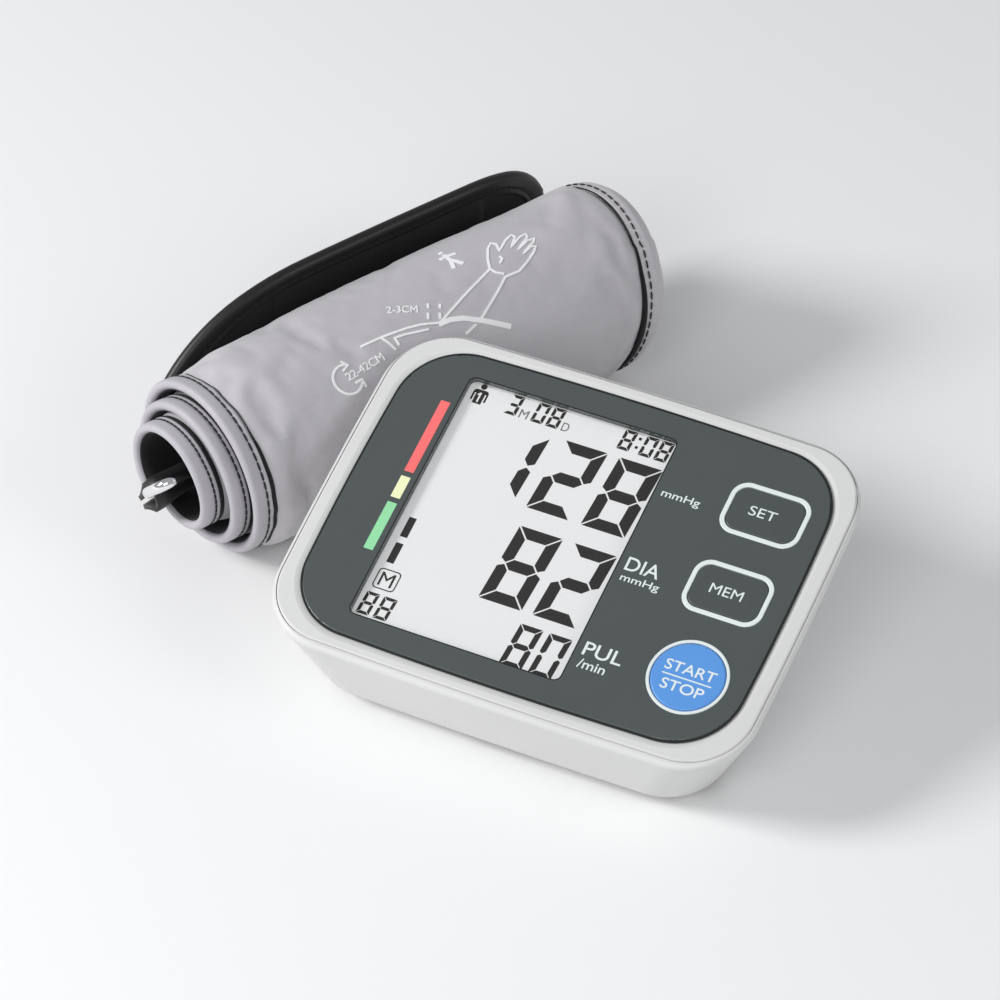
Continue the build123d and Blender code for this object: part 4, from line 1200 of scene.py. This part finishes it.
def flap_edge_path():
    """Places (x, angle) along the loose end's outline, from its left foot to its right foot."""
    path = [(FLAP_LEFT, FLAP_START + 4 + (flap_angle(SWEEP_LOW) - FLAP_START - 4) * i / 8) for i in range(8)]
    path += [(x, flap_angle(flap_height(x))) for x in flap_columns()]
    low = flap_angle(FLAP_TOP - CORNER_HIGH)
    path += [(FLAP_RIGHT, low + (FLAP_START + 4 - low) * i / 10) for i in range(1, 11)]
    return path


def inward(path, i):
    """Unit step into the cloth, square to the outline, in (x, arc) millimetres."""
    before, after = path[max(0, i - 1)], path[min(len(path) - 1, i + 1)]
    dx = after[0] - before[0]
    ds = math.radians(after[1] - before[1]) * FLAP_R
    size = math.hypot(dx, ds)
    return ds / size, -dx / size


FLAP_SEAM = 4.4            # stitch line of the loose end's binding, from its edge


def flap_binding(look):
    """Folded tape round the loose end's edge, with the groove of its stitches."""
    path = flap_edge_path()
    half, wide = 1.7, 6.2
    profile = oval(1.4, 0, -1.4, half, range(-75, 76, 25))
    profile += [(x, half - 0.35 * dip(x, FLAP_SEAM, 0.6)) for x in line(1.6, wide, 10)]
    profile += [(x, -half + 0.35 * dip(x, FLAP_SEAM, 0.6)) for x in line(wide, 1.6, 10)]
    points, cloth = [], []
    for i, (x, angle) in enumerate(path):
        in_x, in_s = inward(path, i)
        for reach, depth in profile:
            at = angle + math.degrees(in_s * reach / FLAP_R)
            points.append(on_flap(x + in_x * reach, at, depth))
            cloth.append((reach * MM, i * 2.5 * MM, depth * MM))
    faces = tube_faces(len(path), len(profile))
    return piece("flap_binding", points, faces, look, None, "cuff_dark", cloth=cloth)


def flap_stitches(look):
    """Stitches along the loose end's binding, on both its sides."""
    path = flap_edge_path()
    rows = [(-0.9, 0.3), (-0.6, 0.9), (0.6, 0.9), (0.9, 0.3)]
    shapes = []
    for i in range(1, len(path) - 1):
        x, angle = path[i]
        in_x, in_s = inward(path, i)
        for depth in (-1.5, 1.5):
            shapes.append(dash(rows, 0.24, lambda shift, side, rise: on_flap(
                x + in_x * (FLAP_SEAM + side) - in_s * shift,
                angle + math.degrees((in_s * (FLAP_SEAM + side) + in_x * shift) / FLAP_R), depth + rise)))
    return piece("flap_stitches", *joined(shapes), look, None, "cuff_dark")


def hook_pad(look):
    """Patch of hooks on the side that faces the roll."""
    columns, rows = line(44, 114, 30), line(-8, 16, 12)
    made = flap_slab("flap_hooks", (-1.5, -1.2), columns, lambda x: rows, look, "loose_end", "hooks")
    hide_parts("hook_patch")


def bend_with_flap(made):
    """Bakes the piece's transform into its mesh."""
    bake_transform(made)


def build_flap():
    grey, dark, black = (bpy.data.materials[name] for name in ("cuff_nylon", "lining_and_shade_black", "thread_black"))
    rim = tape("binding_black", srgb(14, 12, 15), 0.42)
    outer = flap_sheet("flap_outer_cloth", 0.2, 1.3, grey, "cuff_cloth")
    lining = flap_sheet("flap_lining", -1.3, 0.15, dark, "cuff_dark")
    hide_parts("cuff_flap")
    edge = flap_binding(rim)
    sewn = flap_stitches(black)
    for made in (outer, lining, edge, sewn):
        bend_with_flap(made)
    hook_pad(brushed_cloth("hook_tape", srgb(11, 10, 12), 1600, 0.85))


# ---- cuff: webbing round the ring ----

LOOP_ANGLE = -48.0         # way from the core's middle to the ring's held side
LOOP_AT = 6.6
LOOP_R = 2.9
WEBBING_THICK = 1.1


def ring_webbing():
    """Strap from the roll's inner end that goes round the ring's held side and back."""
    core = turn_centre(0)
    way = heading(LOOP_ANGLE)
    side = (-way[1], way[0])
    held = (core[0] + LOOP_AT * way[0], core[1] + LOOP_AT * way[1])
    reach = CORE_R - LOOP_AT - 0.3
    line_out = [(reach * (1 - t / 4), 1.0 + (LOOP_R - 1.0) * (t / 4) ** 1.5) for t in range(4)]
    bend = oval(0, 0, LOOP_R, LOOP_R, range(90, 271, 15))
    path = line_out + bend + [(a, -b) for a, b in reversed(line_out)]
    xs = line(-TELESCOPE - 2.5, CUFF_WIDTH - TELESCOPE - 7, 50)
    points, cloth = [], []
    for x in xs:
        off = x - xs[0]
        flare = 1 + 0.5 * math.exp(-off / 5) - 0.3 * math.exp(-off / 0.8)
        droop = 1.8 * math.exp(-off / 6)
        sway = 0.25 * ripple(x * 0.08, 0, 4.4)
        for layer, order in enumerate((range(len(path)), reversed(range(len(path))))):
            shift = (layer - 0.5) * WEBBING_THICK
            for i in order:
                ta, tb = step_at(path, i)
                a = (path[i][0] - tb * shift) * flare
                b = (path[i][1] + ta * shift) * flare + sway
                y = held[0] + way[0] * a + side[0] * b
                z = held[1] + way[1] * a + side[1] * b - droop
                points.append(CUFF @ Vector((x, y, z)))
                cloth.append((x * MM, i * 0.8 * MM, layer * WEBBING_THICK * MM))
    look = tape("webbing_black", srgb(22, 21, 23), 0.5)
    faces = tube_faces(len(xs), 2 * len(path))
    made = piece("ring_webbing", points, faces, look, "cuff", "cuff_dark", cloth=cloth)
    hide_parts("ring_loop")


# ---- build ----

studio()
dress_monitor()
panel_gap_shade()
window_shade_line()
print_marks()
display_marks()
settle_cloth()
build_roll()
print_pictogram()
build_flap()
ring_webbing()
